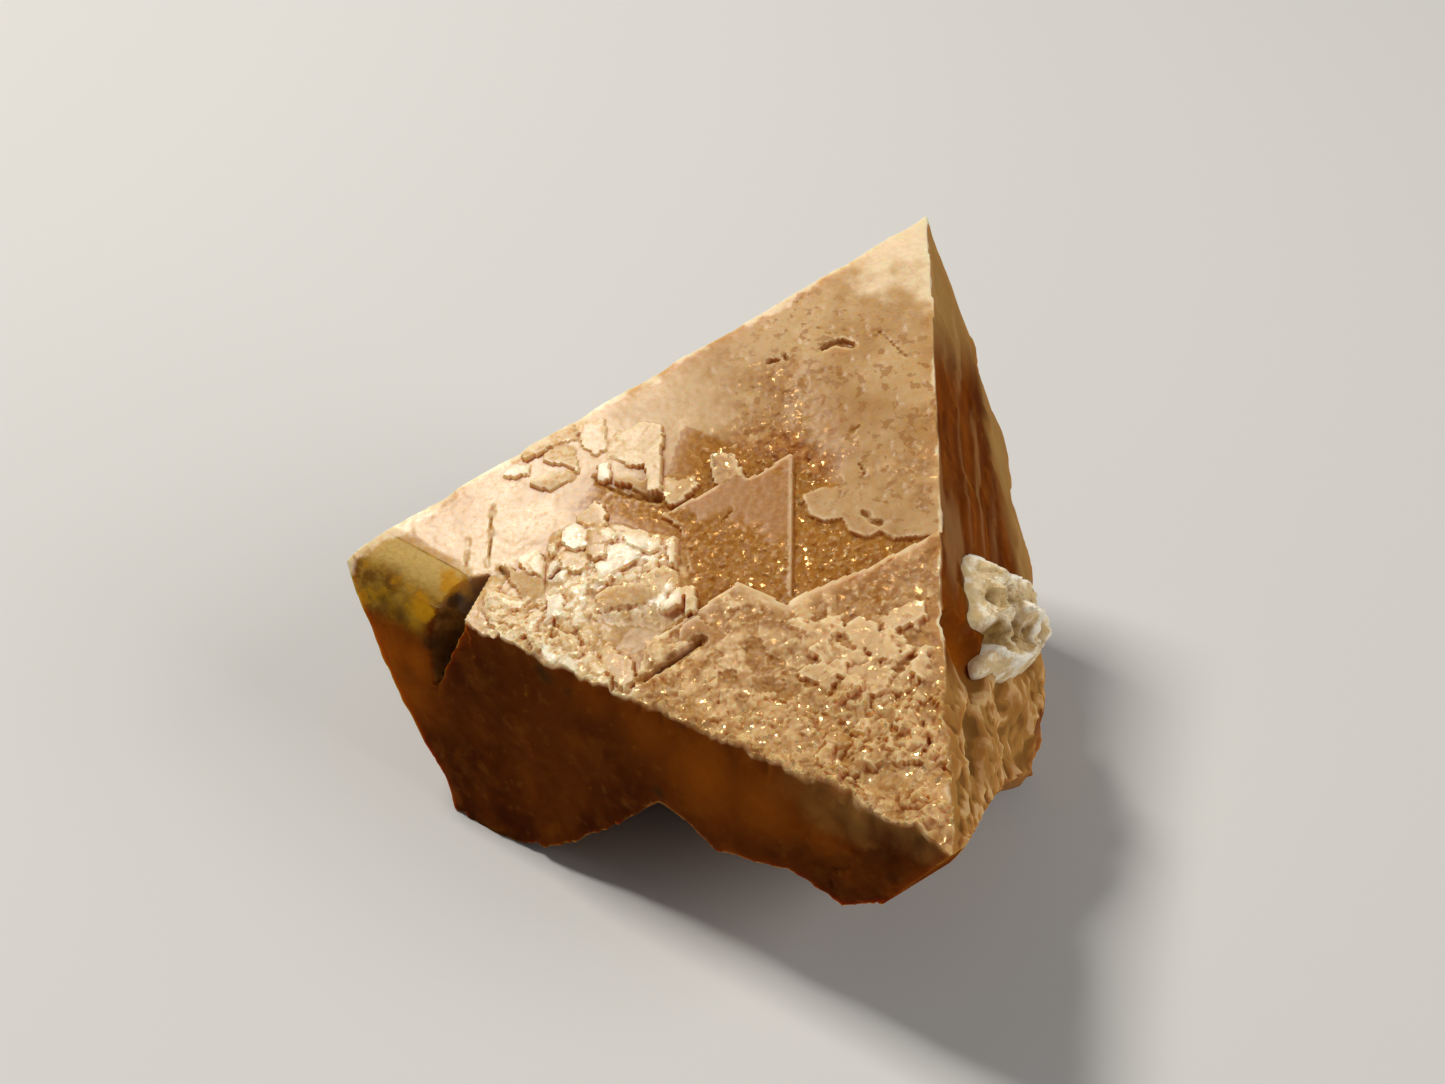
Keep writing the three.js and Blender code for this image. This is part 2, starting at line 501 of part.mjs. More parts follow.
function chips() {
  return joinAll(CHIPS.map(([p, q, depth, radius]) => {
    const ball = new THREE.SphereGeometry(radius, 12, 8);
    ball.scale(1, 0.8, 0.75);
    const centre = rightFace.flat(p, q);
    ball.translate(centre.x, centre.y, 0.75 * radius - depth);
    return toSolid(ball.applyMatrix4(rightFace.matrix));
  }));
}

// Growth steps on the two hidden faces: nested plates, each smaller and higher than the one under it.
const HIDDEN_STEPS = [
  { face: backLeftFace, middle: [13, 9], sizes: [[9, 7], [6, 4.6], [3, 2.4]] },
  { face: backLeftFace, middle: [5, 18], sizes: [[4, 5], [2.4, 3]] },
  { face: backRightFace, middle: [7, 10], sizes: [[6, 7], [4, 4.6], [2, 2.4]] },
];

function hiddenSteps() {
  const plates = [];
  for (const { face, middle: [p, q], sizes } of HIDDEN_STEPS) {
    sizes.forEach(([length, width], level) => {
      const outline = [[p - length / 2, q - width / 2], [p + length / 2, q - width / 2],
        [p + length / 2, q + width / 3], [p, q + width / 2], [p - length / 2, q + width / 2]];
      plates.push(face.plate(outline, -0.5, 0.2 * (level + 1)));
    });
  }
  return joinAll(plates);
}

// ---- Assembly -----------------------------------------------------------------------------------

function scheelite() {
  let solid = brokenCrystal();
  solid = solid.subtract(topPlate(recess, -RECESS_DEPTH, 3));
  solid = solid.add(topPlates()).add(topGrains()).add(topBlocks()).add(hiddenSteps());
  solid = solid.subtract(noseCuts()).subtract(toSolid(groove())).subtract(toSolid(trench()));
  solid = solid.subtract(topPits()).subtract(chips()).subtract(crustSeat());
  return solid;
}

const scheeliteMaterial = new THREE.MeshStandardMaterial({ color: 0xb0713f, roughness: 0.3, metalness: 0 });
const crustMaterial = new THREE.MeshStandardMaterial({ color: 0xe2d2bb, roughness: 0.65, metalness: 0 });

const specimen = new THREE.Group();
specimen.add(toMesh('scheelite_crystal', scheelite(), scheeliteMaterial));
specimen.add(toMesh('mica_crust', crust(), crustMaterial));

export default specimen;
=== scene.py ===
"""Looks of a scheelite crystal with a pale mica crust on its right-hand face.

The crystal is one closed skin. It starts as the flat faces of a dipyramid, each a triangular grid, and gets
its growth relief over every face, then its worn nose, groove and trench, and last the rough breaks of base
and side. Lengths are millimetres until a skin is handed to Blender, which works in metres.
"""

import itertools
import math

import bpy
import numpy as np
from mathutils import Matrix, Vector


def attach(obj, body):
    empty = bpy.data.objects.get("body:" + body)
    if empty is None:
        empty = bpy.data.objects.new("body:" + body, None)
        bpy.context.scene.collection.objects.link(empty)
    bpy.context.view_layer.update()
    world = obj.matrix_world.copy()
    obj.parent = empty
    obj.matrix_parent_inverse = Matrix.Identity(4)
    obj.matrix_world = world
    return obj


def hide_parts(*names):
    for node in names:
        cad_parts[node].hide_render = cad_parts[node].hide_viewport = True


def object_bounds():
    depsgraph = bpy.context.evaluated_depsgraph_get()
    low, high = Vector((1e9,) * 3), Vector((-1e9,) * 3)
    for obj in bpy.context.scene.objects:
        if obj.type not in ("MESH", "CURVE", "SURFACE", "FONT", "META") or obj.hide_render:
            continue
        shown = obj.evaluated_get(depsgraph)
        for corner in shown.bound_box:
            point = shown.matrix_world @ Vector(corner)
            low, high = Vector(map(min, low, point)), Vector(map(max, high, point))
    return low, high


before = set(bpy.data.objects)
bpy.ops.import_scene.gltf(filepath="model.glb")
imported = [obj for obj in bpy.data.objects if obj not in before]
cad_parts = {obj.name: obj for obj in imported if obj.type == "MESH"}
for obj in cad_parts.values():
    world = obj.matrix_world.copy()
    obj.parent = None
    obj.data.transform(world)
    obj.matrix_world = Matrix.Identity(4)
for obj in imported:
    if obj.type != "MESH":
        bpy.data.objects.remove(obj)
cad_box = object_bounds()

MM = 0.001

# ---- Driving dimensions, the same as the solid's ----

HALF_WIDTH = 25.0                     # heart of the crystal to each of four equal corners
AXIS_RATIO = 1.0848                   # long half-axis over short half-axis of the dipyramid
FRONT_REACH = 0.8                     # the front corner grew this much further out
LEAN, LEAN_TOWARDS, TURN = 36.72, 57.16, 134.52    # how the crystal lies, in degrees
HEART = np.array([3.36, 1.3, 2.95])   # heart of the crystal over the middle of the footprint
SIDE_BREAK = 18.4                     # x of the break that takes the right corner off
INSIDE = np.array([3.4, 1.3, 8.0])    # a point that sees the whole surface

# ---- Small tools ----


def unit(vector):
    return vector / np.linalg.norm(vector)


def turned(axis, degrees):
    """Matrix of a turn about one of the frame's axes."""
    c, s = math.cos(math.radians(degrees)), math.sin(math.radians(degrees))
    first, second = [(1, 2), (2, 0), (0, 1)][axis]
    matrix = np.eye(3)
    matrix[first, first] = matrix[second, second] = c
    matrix[second, first], matrix[first, second] = s, -s
    return matrix


def dice(seed):
    """A fixed sequence of numbers between 0 and 1, drawn in the same order as the solid's."""
    state = seed
    while True:
        state = state * 16807 % 2147483647
        yield state / 2147483647


def scramble(i, j, k, seed):
    """A fixed number from 0 to 1 for each whole-number place."""
    n = i.astype(np.int64).astype(np.uint64) * np.uint64(73856093)
    n = n ^ (j.astype(np.int64).astype(np.uint64) * np.uint64(19349663))
    n = n ^ (k.astype(np.int64).astype(np.uint64) * np.uint64(83492791))
    n = (n ^ np.uint64(seed * 2654435761 % 2**32)) & np.uint64(0xFFFFFFFF)
    for shift, factor in ((15, 2246822519), (13, 3266489917)):
        n = ((n ^ (n >> np.uint64(shift))) * np.uint64(factor)) & np.uint64(0xFFFFFFFF)
    return (n ^ (n >> np.uint64(16))) / 2**32


def soft_noise(points, size, seed):
    """Smooth noise from -1 to 1: random numbers at a lattice's corners, eased from corner to corner."""
    places = points / size + 0.37 * seed
    cell = np.floor(places)
    share = places - cell
    share = share * share * (3 - 2 * share)
    total = np.zeros(len(points))
    for dx, dy, dz in np.ndindex(2, 2, 2):
        weight = np.prod(np.where([dx, dy, dz], share, 1 - share), axis=1)
        total += weight * scramble(cell[:, 0] + dx, cell[:, 1] + dy, cell[:, 2] + dz, seed)
    return 2 * total - 1


def rough_noise(points, size, seed, octaves=3):
    """Soft noise of halving sizes, each half as strong as the one before."""
    total = sum(soft_noise(points, size / 2**n, seed + n) / 2**n for n in range(octaves))
    return total / (2 - 2 ** (1 - octaves))


def cells(x, y, size, seed):
    """A plane parted into cells: a place belongs to the nearest of the jittered lattice points. Gives the
    square of the way to it in cell sizes, and a level: the cell's own plus its own slope times that way."""
    column, row = np.floor(x / size), np.floor(y / size)
    nearest = np.full(len(x), np.inf)
    height = np.zeros(len(x))
    for i, j in np.ndindex(3, 3):
        place = (column + i - 1, row + j - 1)
        draws = [scramble(*place, place[0] * 0 + n, seed) for n in range(5)]
        dx, dy = x / size - place[0] - draws[0], y / size - place[1] - draws[1]
        distance = dx * dx + dy * dy
        level = 1.6 * (dx * (draws[2] - 0.5) + dy * (draws[3] - 0.5)) + draws[4] - 0.5
        height = np.where(distance < nearest, level, height)
        nearest = np.minimum(distance, nearest)
    return nearest, height


def grains(x, y, size, seed):
    """Packed grains with flat tilted tops, about -1 to 1."""
    return cells(x, y, size, seed)[1]


def mounds(x, y, size, seed):
    """Packed round mounds, from about 0 to 1."""
    return 1 - cells(x, y, size, seed)[0]


def line_distance(x, y, line):
    """Distance from each place to the nearest stretch of a line of points."""
    ways = []
    for (x0, y0), (x1, y1) in itertools.pairwise(line):
        dx, dy = x1 - x0, y1 - y0
        share = np.clip(((x - x0) * dx + (y - y0) * dy) / (dx**2 + dy**2), 0, 1)
        ways.append(np.hypot(x - x0 - share * dx, y - y0 - share * dy))
    return np.min(ways, axis=0)


def ease(x, low, high):
    """0 below low, 1 above high, with a smooth rise between them."""
    share = np.clip((x - low) / (high - low), 0, 1)
    return share * share * (3 - 2 * share)


# ---- The crystal's corners and faces ----


class Face:
    """A crystal face with oblique rulers along the two edges that leave one of its corners.
    Seen from outside, corner, first and second run anticlockwise."""

    def __init__(self, corner, first, second):
        self.corner = corner
        self.along = unit(first - corner)
        across = unit(second - corner)
        self.out = unit(np.cross(self.along, across))
        self.side = np.cross(self.out, self.along)
        self.cosine = self.along @ across
        self.sine = self.side @ across
        self.edges = []

    def flat(self, p, q):
        return np.stack([p + q * self.cosine, q * self.sine], -1)

    def rulers(self, points):
        x, y = (points - self.corner) @ self.along, (points - self.corner) @ self.side
        return x - y / self.sine * self.cosine, y / self.sine

    def at(self, p, q, height=0.0):
        x, y = self.flat(p, q)
        return self.corner + x * self.along + y * self.side + height * self.out

    def inset(self, points, outline):
        """How far inside an outline given in the face's rulers a point is; less than 0 outside it."""
        x, y = self.flat(*self.rulers(points)).T
        corners = self.flat(*np.array(outline, float).T)
        loop = np.concatenate([corners, corners[:1]])
        inside = np.zeros(len(points), bool)
        for (x0, y0), (x1, y1) in itertools.pairwise(loop):
            if y0 != y1:
                inside ^= ((y0 > y) != (y1 > y)) & (x < x0 + (y - y0) * (x1 - x0) / (y1 - y0))
        way = line_distance(x, y, loop)
        return np.where(inside, way, -way)


lie = turned(2, LEAN_TOWARDS) @ turned(1, LEAN) @ turned(2, TURN)
PEAK = lie @ np.array([0, 0, HALF_WIDTH * AXIS_RATIO]) + HEART
ROOT = lie @ np.array([0, 0, -HALF_WIDTH * AXIS_RATIO]) + HEART
NOSE = lie @ np.array([HALF_WIDTH, 0, 0]) + HEART
RIGHT = lie @ np.array([-HALF_WIDTH, 0, 0]) + HEART
BACK = lie @ np.array([0, -HALF_WIDTH, 0]) + HEART
FRONT = lie @ np.array([0, HALF_WIDTH, 0]) + HEART
TIP = FRONT + FRONT_REACH * unit(FRONT - NOSE)

TOP_FACE = Face(FRONT, PEAK, NOSE)
FRONT_FACE = Face(FRONT, NOSE, ROOT)
RIGHT_FACE = Face(TIP, RIGHT, PEAK)
BACK_LEFT = Face(PEAK, BACK, NOSE)
BACK_RIGHT = Face(PEAK, RIGHT, BACK)
LOW_LEFT = Face(NOSE, BACK, ROOT)
LOW_RIGHT = Face(TIP, ROOT, RIGHT)
LOW_BACK = Face(BACK, RIGHT, ROOT)
FACES = [TOP_FACE, FRONT_FACE, RIGHT_FACE, BACK_LEFT, BACK_RIGHT, LOW_LEFT, LOW_RIGHT, LOW_BACK]

# The same faces as nets: the first side of the three after the top one is the side they share with it.
NETS = [(PEAK, NOSE, TIP), (TIP, NOSE, ROOT), (PEAK, TIP, RIGHT), (NOSE, PEAK, BACK),
        (PEAK, RIGHT, BACK), (NOSE, BACK, ROOT), (TIP, ROOT, RIGHT), (BACK, RIGHT, ROOT)]


def on_top(s, t, height=0.0):
    """A place on the top face: s from FRONT towards NOSE, t from FRONT towards PEAK."""
    return TOP_FACE.at(t, s, height)


def top_flat(line):
    """Places given as [s, t] in the top face's own plane."""
    return TOP_FACE.flat(*np.array(line).T[::-1])


def top_inset(points, outline):
    """How far inside an outline of [s, t] on the top face a point is; less than 0 outside it."""
    return TOP_FACE.inset(points, [(t, s) for s, t in outline])


# ---- Growth relief of the top face ----

RECESS_DEPTH = 0.2
LOW_PLATE = 0.15
HIGH_PLATE = 0.4
CLUSTER_RISE = 0.4

# Outlines on the top face as [s, t]. Their straight edges run parallel to the crystal's own edges.
RECESS = [
    [4.4, 21.6], [7, 25.6], [10.6, 22.6], [12.6, 19.6], [14.6, 16.6], [15.4, 13.2], [19.6, 11.6],
    [20.6, 9.2], [16.6, 9.4], [-0.8, 9.4], [-0.6, 16.4], [0.8, 15.8], [2.1, 15.2], [2.8, 15.3],
    [3.4, 14.7], [4.7, 14.6], [5, 15.1], [6.1, 14.5], [6.9, 14.6], [7.3, 15.6], [6.2, 16.4], [5, 17],
    [4.4, 18], [3.4, 18.8],
]
LOW_PLATE_EDGE = [
    [7.9, 17.8], [7.5, 3], [15.6, 3], [13.2, 7], [14.3, 10.6], [15.5, 10.9], [10.8, 15.4], [10.5, 15.1],
]
HIGH_TERRACE = [
    [0, 16], [3.3, 12.9], [7.6, 9.3], [7.9, 8.8], [10.7, 8.9], [13.8, 5.3], [15.6, 3.4], [16.6, -1],
    [-1.5, -1], [-1.5, 17.4],
]
CLUSTER_BED = [
    [22.2, 7.2], [20.4, 8.2], [17.6, 9.6], [14.4, 9.9], [13.2, 6.3], [14.9, 4.6], [20.6, 2.7], [22.4, 4.2],
]
SCALE_FIELD = [[1, 4.6], [-0.5, 9], [0.2, 12.4], [3.2, 11], [5.4, 9.6], [7.8, 8.4], [8, 6], [5.6, 4.4]]
# Plates on the top face, as (height, tone from dark to light, outline as [s, t]).
# On the blocks the tone is partly painted light: the lightest stand for facets that catch it, darker for
# those turned away.
PLATES = [
    (0.12, 0.6, [[24.3, 11.7], [22.5, 13.5], [21.5, 14.4], [20.9, 13.5], [22.3, 12.7], [23.3, 11.5],
        [24.3, 10.8]]),
    (0.15, 0.6, [[21.4, 14.4], [19.5, 15.3], [19.1, 13.7], [19.8, 12.7], [20.6, 13], [21, 13.5]]),
    (0.24, 0.7, [[19.2, 14.2], [17, 16.1], [15.8, 16.4], [15.7, 13.2], [15.6, 12.3], [16.3, 12],
        [16.8, 13.3], [17.5, 13.1], [18.5, 13.2], [19.1, 13.1]]),
    (0.26, 0.45, [[18.5, 12], [17.5, 12.4], [16.6, 12.6], [15.6, 12.9], [15.5, 12.2], [16.3, 11.8],
        [17.6, 11.7], [18.4, 11.6]]),
    (0.3, 1, [[19.6, 12.3], [18.9, 12.7], [18.6, 11.7], [19.4, 11.4]]),
    (0.17, 0.6, [[22.2, 12.6], [21.3, 12.8], [20.5, 11.7], [20.6, 11.4], [21.5, 11.6], [22.6, 11.3],
        [23.1, 11.5]]),
    (0.19, 0.6, [[23.6, 9.6], [22.6, 10.5], [21.1, 11.4], [21, 11], [21.7, 10.2], [22.3, 9.7],
        [23.1, 9.5]]),
    (0.22, 0.9, [[25.4, 9.3], [24.7, 10.3], [23.8, 10.6], [23.8, 10.1], [24.8, 9.4]]),
    (0.12, 0.7, [[15.6, 13.2], [14.6, 13.5], [13.7, 14.2], [13.3, 13.7], [14.2, 12.2], [15, 11.6],
        [15.5, 12.3]]),
    (0.16, 0.7, [[12.9, 15.6], [12, 16.1], [11.2, 16.4], [11, 15.2], [11.6, 14.5], [12.5, 14.2]]),
    (0.28, 0.5, [[20.6, 8.6], [19.5, 10], [18.6, 9.8], [18.5, 8.8], [19.9, 8.4]]),
    (0.52, 0.65, [[16.2, 6.8], [14.9, 7.8], [14.1, 7.9], [14.1, 7.2], [14.9, 6.1], [15.8, 5.5],
        [16.5, 5.9]]),
    (0.57, 0.5, [[18.8, 4.6], [17.1, 6], [15.9, 6.4], [15.6, 6], [16.1, 5.1], [17.3, 4.7], [18.1, 4],
        [18.7, 4.2]]),
    (0.47, 0.5, [[21.3, 6.2], [19.6, 6.9], [19.4, 6.2], [19.9, 5.4], [20.8, 5.4]]),
    (0.54, 0.45, [[19.7, 8.1], [18.5, 8.6], [18.4, 7.1], [19.1, 6.6], [19.6, 6.7]]),
    (0.6, 1, [[21.1, 7.6], [20.5, 8.1], [19.7, 8.1], [19.6, 7.1], [20.3, 6.5], [21.1, 6.6]]),
    (0.59, 0.85, [[19, 8.2], [18.4, 8.7], [17.8, 8.6], [17.9, 8], [18.4, 8]]),
    (0.57, 0.8, [[15.8, 9.5], [15.2, 9.6], [15.3, 8.8], [15.9, 8.2], [16.3, 8.2]]),
    (0.62, 0.95, [[17.6, 8.5], [16.5, 9.5], [15.8, 9.5], [15.7, 8.9], [16.3, 8.1], [17, 8.1]]),
    (0.55, 0.9, [[18.3, 7.7], [17.6, 8.2], [16.8, 8.4], [16.2, 8.1], [17.1, 7], [17.7, 6.4], [18.2, 6.8]]),
    (0.6, 1, [[15, 9.3], [14.4, 9.9], [14.2, 8.3], [14.6, 8.1]]),
    (0.6, 0.95, [[18.9, 6.4], [18.5, 6.7], [17.7, 6.8], [17.8, 6.3], [18.5, 5.8], [18.9, 6]]),
    (0.54, 0.75, [[19.4, 5.5], [17.9, 6.2], [17.9, 5.6], [19.2, 5.2]]),
    (0.54, 0.8, [[16.2, 7.4], [15.4, 8], [15.3, 7.5], [16.1, 7.1]]),
    (0.62, 0.95, [[15, 5.6], [14.1, 6.9], [13.7, 7.1], [13.7, 6.2], [14.8, 5.3]]),
    (0.64, 1, [[13.7, 7.2], [13, 7.7], [12.9, 6.2], [13.5, 5.7]]),
    (0.47, 0.8, [[23.7, 4.9], [22.6, 5.8], [22.1, 5.6], [22, 4.4], [22.9, 4.2], [23.7, 4.5]]),
    (0.45, 0.9, [[21.7, 3.4], [20.8, 3.9], [20.5, 3.6], [20.9, 2.5], [21.8, 1.6], [21.6, 2.6]]),
    (0.51, 0.7, [[22, 6.2], [21.4, 6.6], [21.4, 6.1], [21.8, 5.7]]),
    (0.34, 0.55, [[20.2, 4.4], [19.6, 5], [18.7, 4.1], [18.6, 3.5], [19.5, 3.3]]),
    (0.22, 0.45, [[24.7, 4], [22.1, 4.5], [21.9, 2.8], [23, 2.8]]),
    (0.34, 0.8, [[24.8, 2.3], [24, 2.3], [23, 2.5], [23.1, 2.1], [24.1, 1.6]]),
    (0.34, 0.6, [[18.3, 1.9], [17.8, 2.3], [16.5, 2], [16.1, 1.3], [16.7, 0.2], [17.6, 0.7]]),
    (0.34, 0.7, [[15.7, 0.1], [15.2, 1.3], [14, 2], [13.3, 2.9], [12.9, 2.8], [14.1, 1.4], [12.7, 1.7],
        [11.8, 1.7], [11.7, 1], [12, 0.5], [13.4, 0.4]]),
    (0.34, 0.9, [[21.9, 0.4], [21.5, 1], [21.1, 0.6], [20.1, 0.5], [20.1, -0.2], [21, 0.1]]),
    (0.39, 0.7, [[20.8, 1.8], [19.7, 2], [19.4, 1.6], [19.7, 1], [20.4, 1.2]]),
    (0.52, 0.5, [[13.8, 5], [12.7, 6.1], [11.8, 5.4], [11.9, 4.7], [12.8, 4.2], [13.7, 4.3]]),
    (0.66, 0.7, [[4.7, 7], [3.7, 7.5], [2.5, 7.2], [2.2, 6.7], [2.9, 5.7], [3.7, 5.8], [4.4, 5.7],
        [4.8, 6.3]]),
    (0.64, 0.74, [[7.4, 5.1], [6.5, 6], [5.7, 6.5], [5, 6.1], [5, 5.7], [5.5, 4.9], [6.4, 5.2], [6.9, 5]]),
    (0.62, 0.74, [[7, 7.5], [6.6, 8.4], [5.9, 8.2], [5.3, 8.4], [5, 7.7], [4.9, 7], [5.7, 6.9], [6.9, 7]]),
    (0.6, 0.74, [[2, 7.4], [1.3, 8.2], [0.4, 9.5], [0.1, 8.7], [1.3, 7.4], [1.6, 6.7], [2.1, 6.5]]),
    (0.58, 0.74, [[2.9, 10.1], [1.2, 11.7], [0.3, 12.2], [0.3, 11.2], [1.5, 10.2], [2.4, 9.7]]),
    (0.66, 0.76, [[4.7, 8.7], [3.9, 9.6], [2.9, 9.7], [2.8, 9.1], [2.2, 9.4], [1.7, 8.8], [2, 8.1],
        [2.9, 7.7], [3.7, 7.9], [4.4, 8.1]]),
    (0.74, 0.88, [[2.6, 8.8], [2.3, 9.2], [1.7, 8.7], [2, 8], [2.5, 8.3]]),
]
PLATE_TIP = 14                # most degrees that a plate's top leans
PLATE_RAGGED = 0.1            # how far the sides of a light plate stray; those of others stray more
HAIRLINE = 0.1                # half width up to which a crack keeps its width along its run
# Slits and cracks as (half width, depth, line as [s, t]).
SLITS = [
    (0.22, 0.35, [[6.6, 25], [6.2, 25.4]]), (0.14, 0.25, [[6.1, 25.5], [5.2, 26.1]]),
    (0.2, 0.3, [[5.2, 26], [4.5, 26.2]]), (0.07, 0.15, [[3, 27.6], [2.2, 27.2], [1.3, 26.6]]),
    (0.14, 0.25, [[9.6, 23.1], [9, 23.4]]), (0.14, 0.25, [[8.7, 23.9], [8.5, 23.7]]),
    (0.1, 0.2, [[4.1, 21.1], [4.6, 20.6]]), (0.1, 0.2, [[4.1, 18.8], [3.7, 18.3]]),
    (0.2, 0.22, [[3.8, 15.9], [3.4, 15.6], [3, 15.7]]),
    (0.12, 0.2, [[19.8, 11.5], [17.8, 11.2], [15.6, 11.8]]),
    (0.1, 0.16, [[25.8, 7.4], [25.8, 6.5], [25.6, 5.2], [25.6, 3.7]]),
    (0.09, 0.12, [[27.1, 4.8], [26.9, 3.1]]), (0.12, 0.3, [[24.8, 4], [24.1, 3.6], [23.2, 2.8]]),
    (0.22, 0.35, [[0.6, 5.6], [0.2, 4.7]]), (0.08, 0.14, [[18.6, 3.9], [17.2, 4.4], [15.9, 5.4]]),
    (0.12, 0.3, [[21.6, 4.6], [21.2, 5.2]]), (0.09, 0.2, [[11.9, 12.2], [11.3, 12.9]]),
    (0.34, 0.3, [[12.4, 4.8], [14, 3.1], [15.8, 1.2]]),
]


def raise_plates(height, tone, points):
    """The relief with the plates standing on it, and each place's tone. A plate's top is a plane that
    leans a few degrees, the more the darker it is; its rim is worn by an exponential of the way in, and its
    sides stray by noise and grains. Where it is higher than the relief, it is the relief."""
    draw = dice(4102)
    x, y = TOP_FACE.flat(*TOP_FACE.rulers(points)).T
    for rise, shade, outline in PLATES:
        corners = top_flat(outline)
        middle = corners.mean(0)
        reach = np.hypot(*(corners - middle).T).max()
        near = np.flatnonzero(np.hypot(x - middle[0], y - middle[1]) < reach)
        lean = np.tan(np.radians(PLATE_TIP * (1.3 - shade) * (2 * np.array([next(draw), next(draw)]) - 1)))
        edge = top_inset(points[near], outline)
        ragged = PLATE_RAGGED * (1 if shade > 0.78 else 2.2)
        stray = rough_noise(points[near], 1.2, 111) + 0.6 * grains(x[near], y[near], 0.7, 115)
        edge = edge + ragged * stray
        plane = rise + lean[0] * (x[near] - middle[0]) + lean[1] * (y[near] - middle[1])
        plane = plane - 0.03 * np.exp(-np.maximum(edge, 0) / 0.1)
        plane = plane + 0.04 * grains(x[near], y[near], 1.3, 113)
        held = (edge > 0) & (plane > height[near])
        height[near] = np.where(held, plane, height[near])
        tone[near] = np.where(held, shade, tone[near])
    return height, tone


def sand_patches(points):
    """Faint patches of sand on the smooth ground to the right."""
    t, s = TOP_FACE.rulers(points)
    return ease(rough_noise(points, 2.6, 63), -0.05, 0.5) * ease(7 - s, 0, 3) * ease(26 - t, 0, 3)


def behind_rim(points, terrace):
    """0 on the high terrace's worn rim and 1 behind it, given how far inside the terrace a point is."""
    return ease(terrace + 0.9 * rough_noise(points, 1.3, 65), 0.05, 0.6)


def plate_wear(points):
    """Where the low plate has gone sandy: its lower half, thinning upwards in patches."""
    return ease(12.6 - TOP_FACE.rulers(points)[0] + 3.2 * rough_noise(points, 1.8, 61), 0, 1.6)


def layers(points, size, steps, seed):
    """Stacked growth layers: rough noise cut into a few equal steps, from 0 to 1."""
    return np.clip(np.floor(steps * (0.5 + 0.62 * rough_noise(points, size, seed))) / steps, 0, 1)


def top_zones(points):
    """How far inside its outline each part of the top face a point is: sandy ground (which fades in over a
    few millimetres at its top), low plate, high terrace and cluster bed, and the share from 0 to 1 of the
    rough band along the front ridge."""
    t, s = TOP_FACE.rulers(points)
    waver = rough_noise(points, 1.6, 11)
    fray = rough_noise(points, 0.7, 19)
    fade = 0.12 + 5 * ease(t, 16.2, 20) + 2.5 * ease(s, 9, 12)
    recess = (top_inset(points, RECESS) + 0.12 * fray) / fade
    plate = top_inset(points, LOW_PLATE_EDGE) + 0.04 * fray
    terrace = top_inset(points, HIGH_TERRACE) + 0.1 * fray
    bed = top_inset(points, CLUSTER_BED) + 0.5 * waver
    band = ease(4.2 - t + 1.2 * waver, 0, 2.4) * ease(26 - s, 0, 1)
    band = np.maximum(band, ease(8.6 - t - 0.45 * s + 0.8 * waver, 0, 1.4))
    return recess, plate, terrace, bed, band


def pitted_share(points):
    """How thickly small pits stand round the sandy ground and on the smooth ground right of it."""
    t, s = TOP_FACE.rulers(points)
    share = ease(15 - s - 0.35 * np.abs(t - 21) + 5 * rough_noise(points, 2.5, 75), 0, 5)
    return share * ease(t, 14, 17) * ease(31 - t, 0, 4)


def slit_depth(points):
    """Depth of the pits, slits and cracks: a slit is a trough of its own half width and depth along a
    line, bent by noise and, where it is wider than a hairline, wider and narrower along its run."""
    x, y = TOP_FACE.flat(*TOP_FACE.rulers(points)).T
    x = x + 0.2 * rough_noise(points, 0.8, 23)
    y = y + 0.14 * rough_noise(points, 0.6, 27)
    wide = np.maximum(1.1 + 1.4 * rough_noise(points, 0.7, 28), 0.01)
    depth = 0.05 * pitted_share(points) * ease(rough_noise(points, 0.45, 73), 0.25, 0.5)
    for half, deep, line in SLITS:
        way = line_distance(x, y, top_flat(line))
        reach = half * (wide if half > HAIRLINE else 1)
        depth = np.maximum(depth, deep * ease(reach - way, 0, 1.3 * half))
    return depth


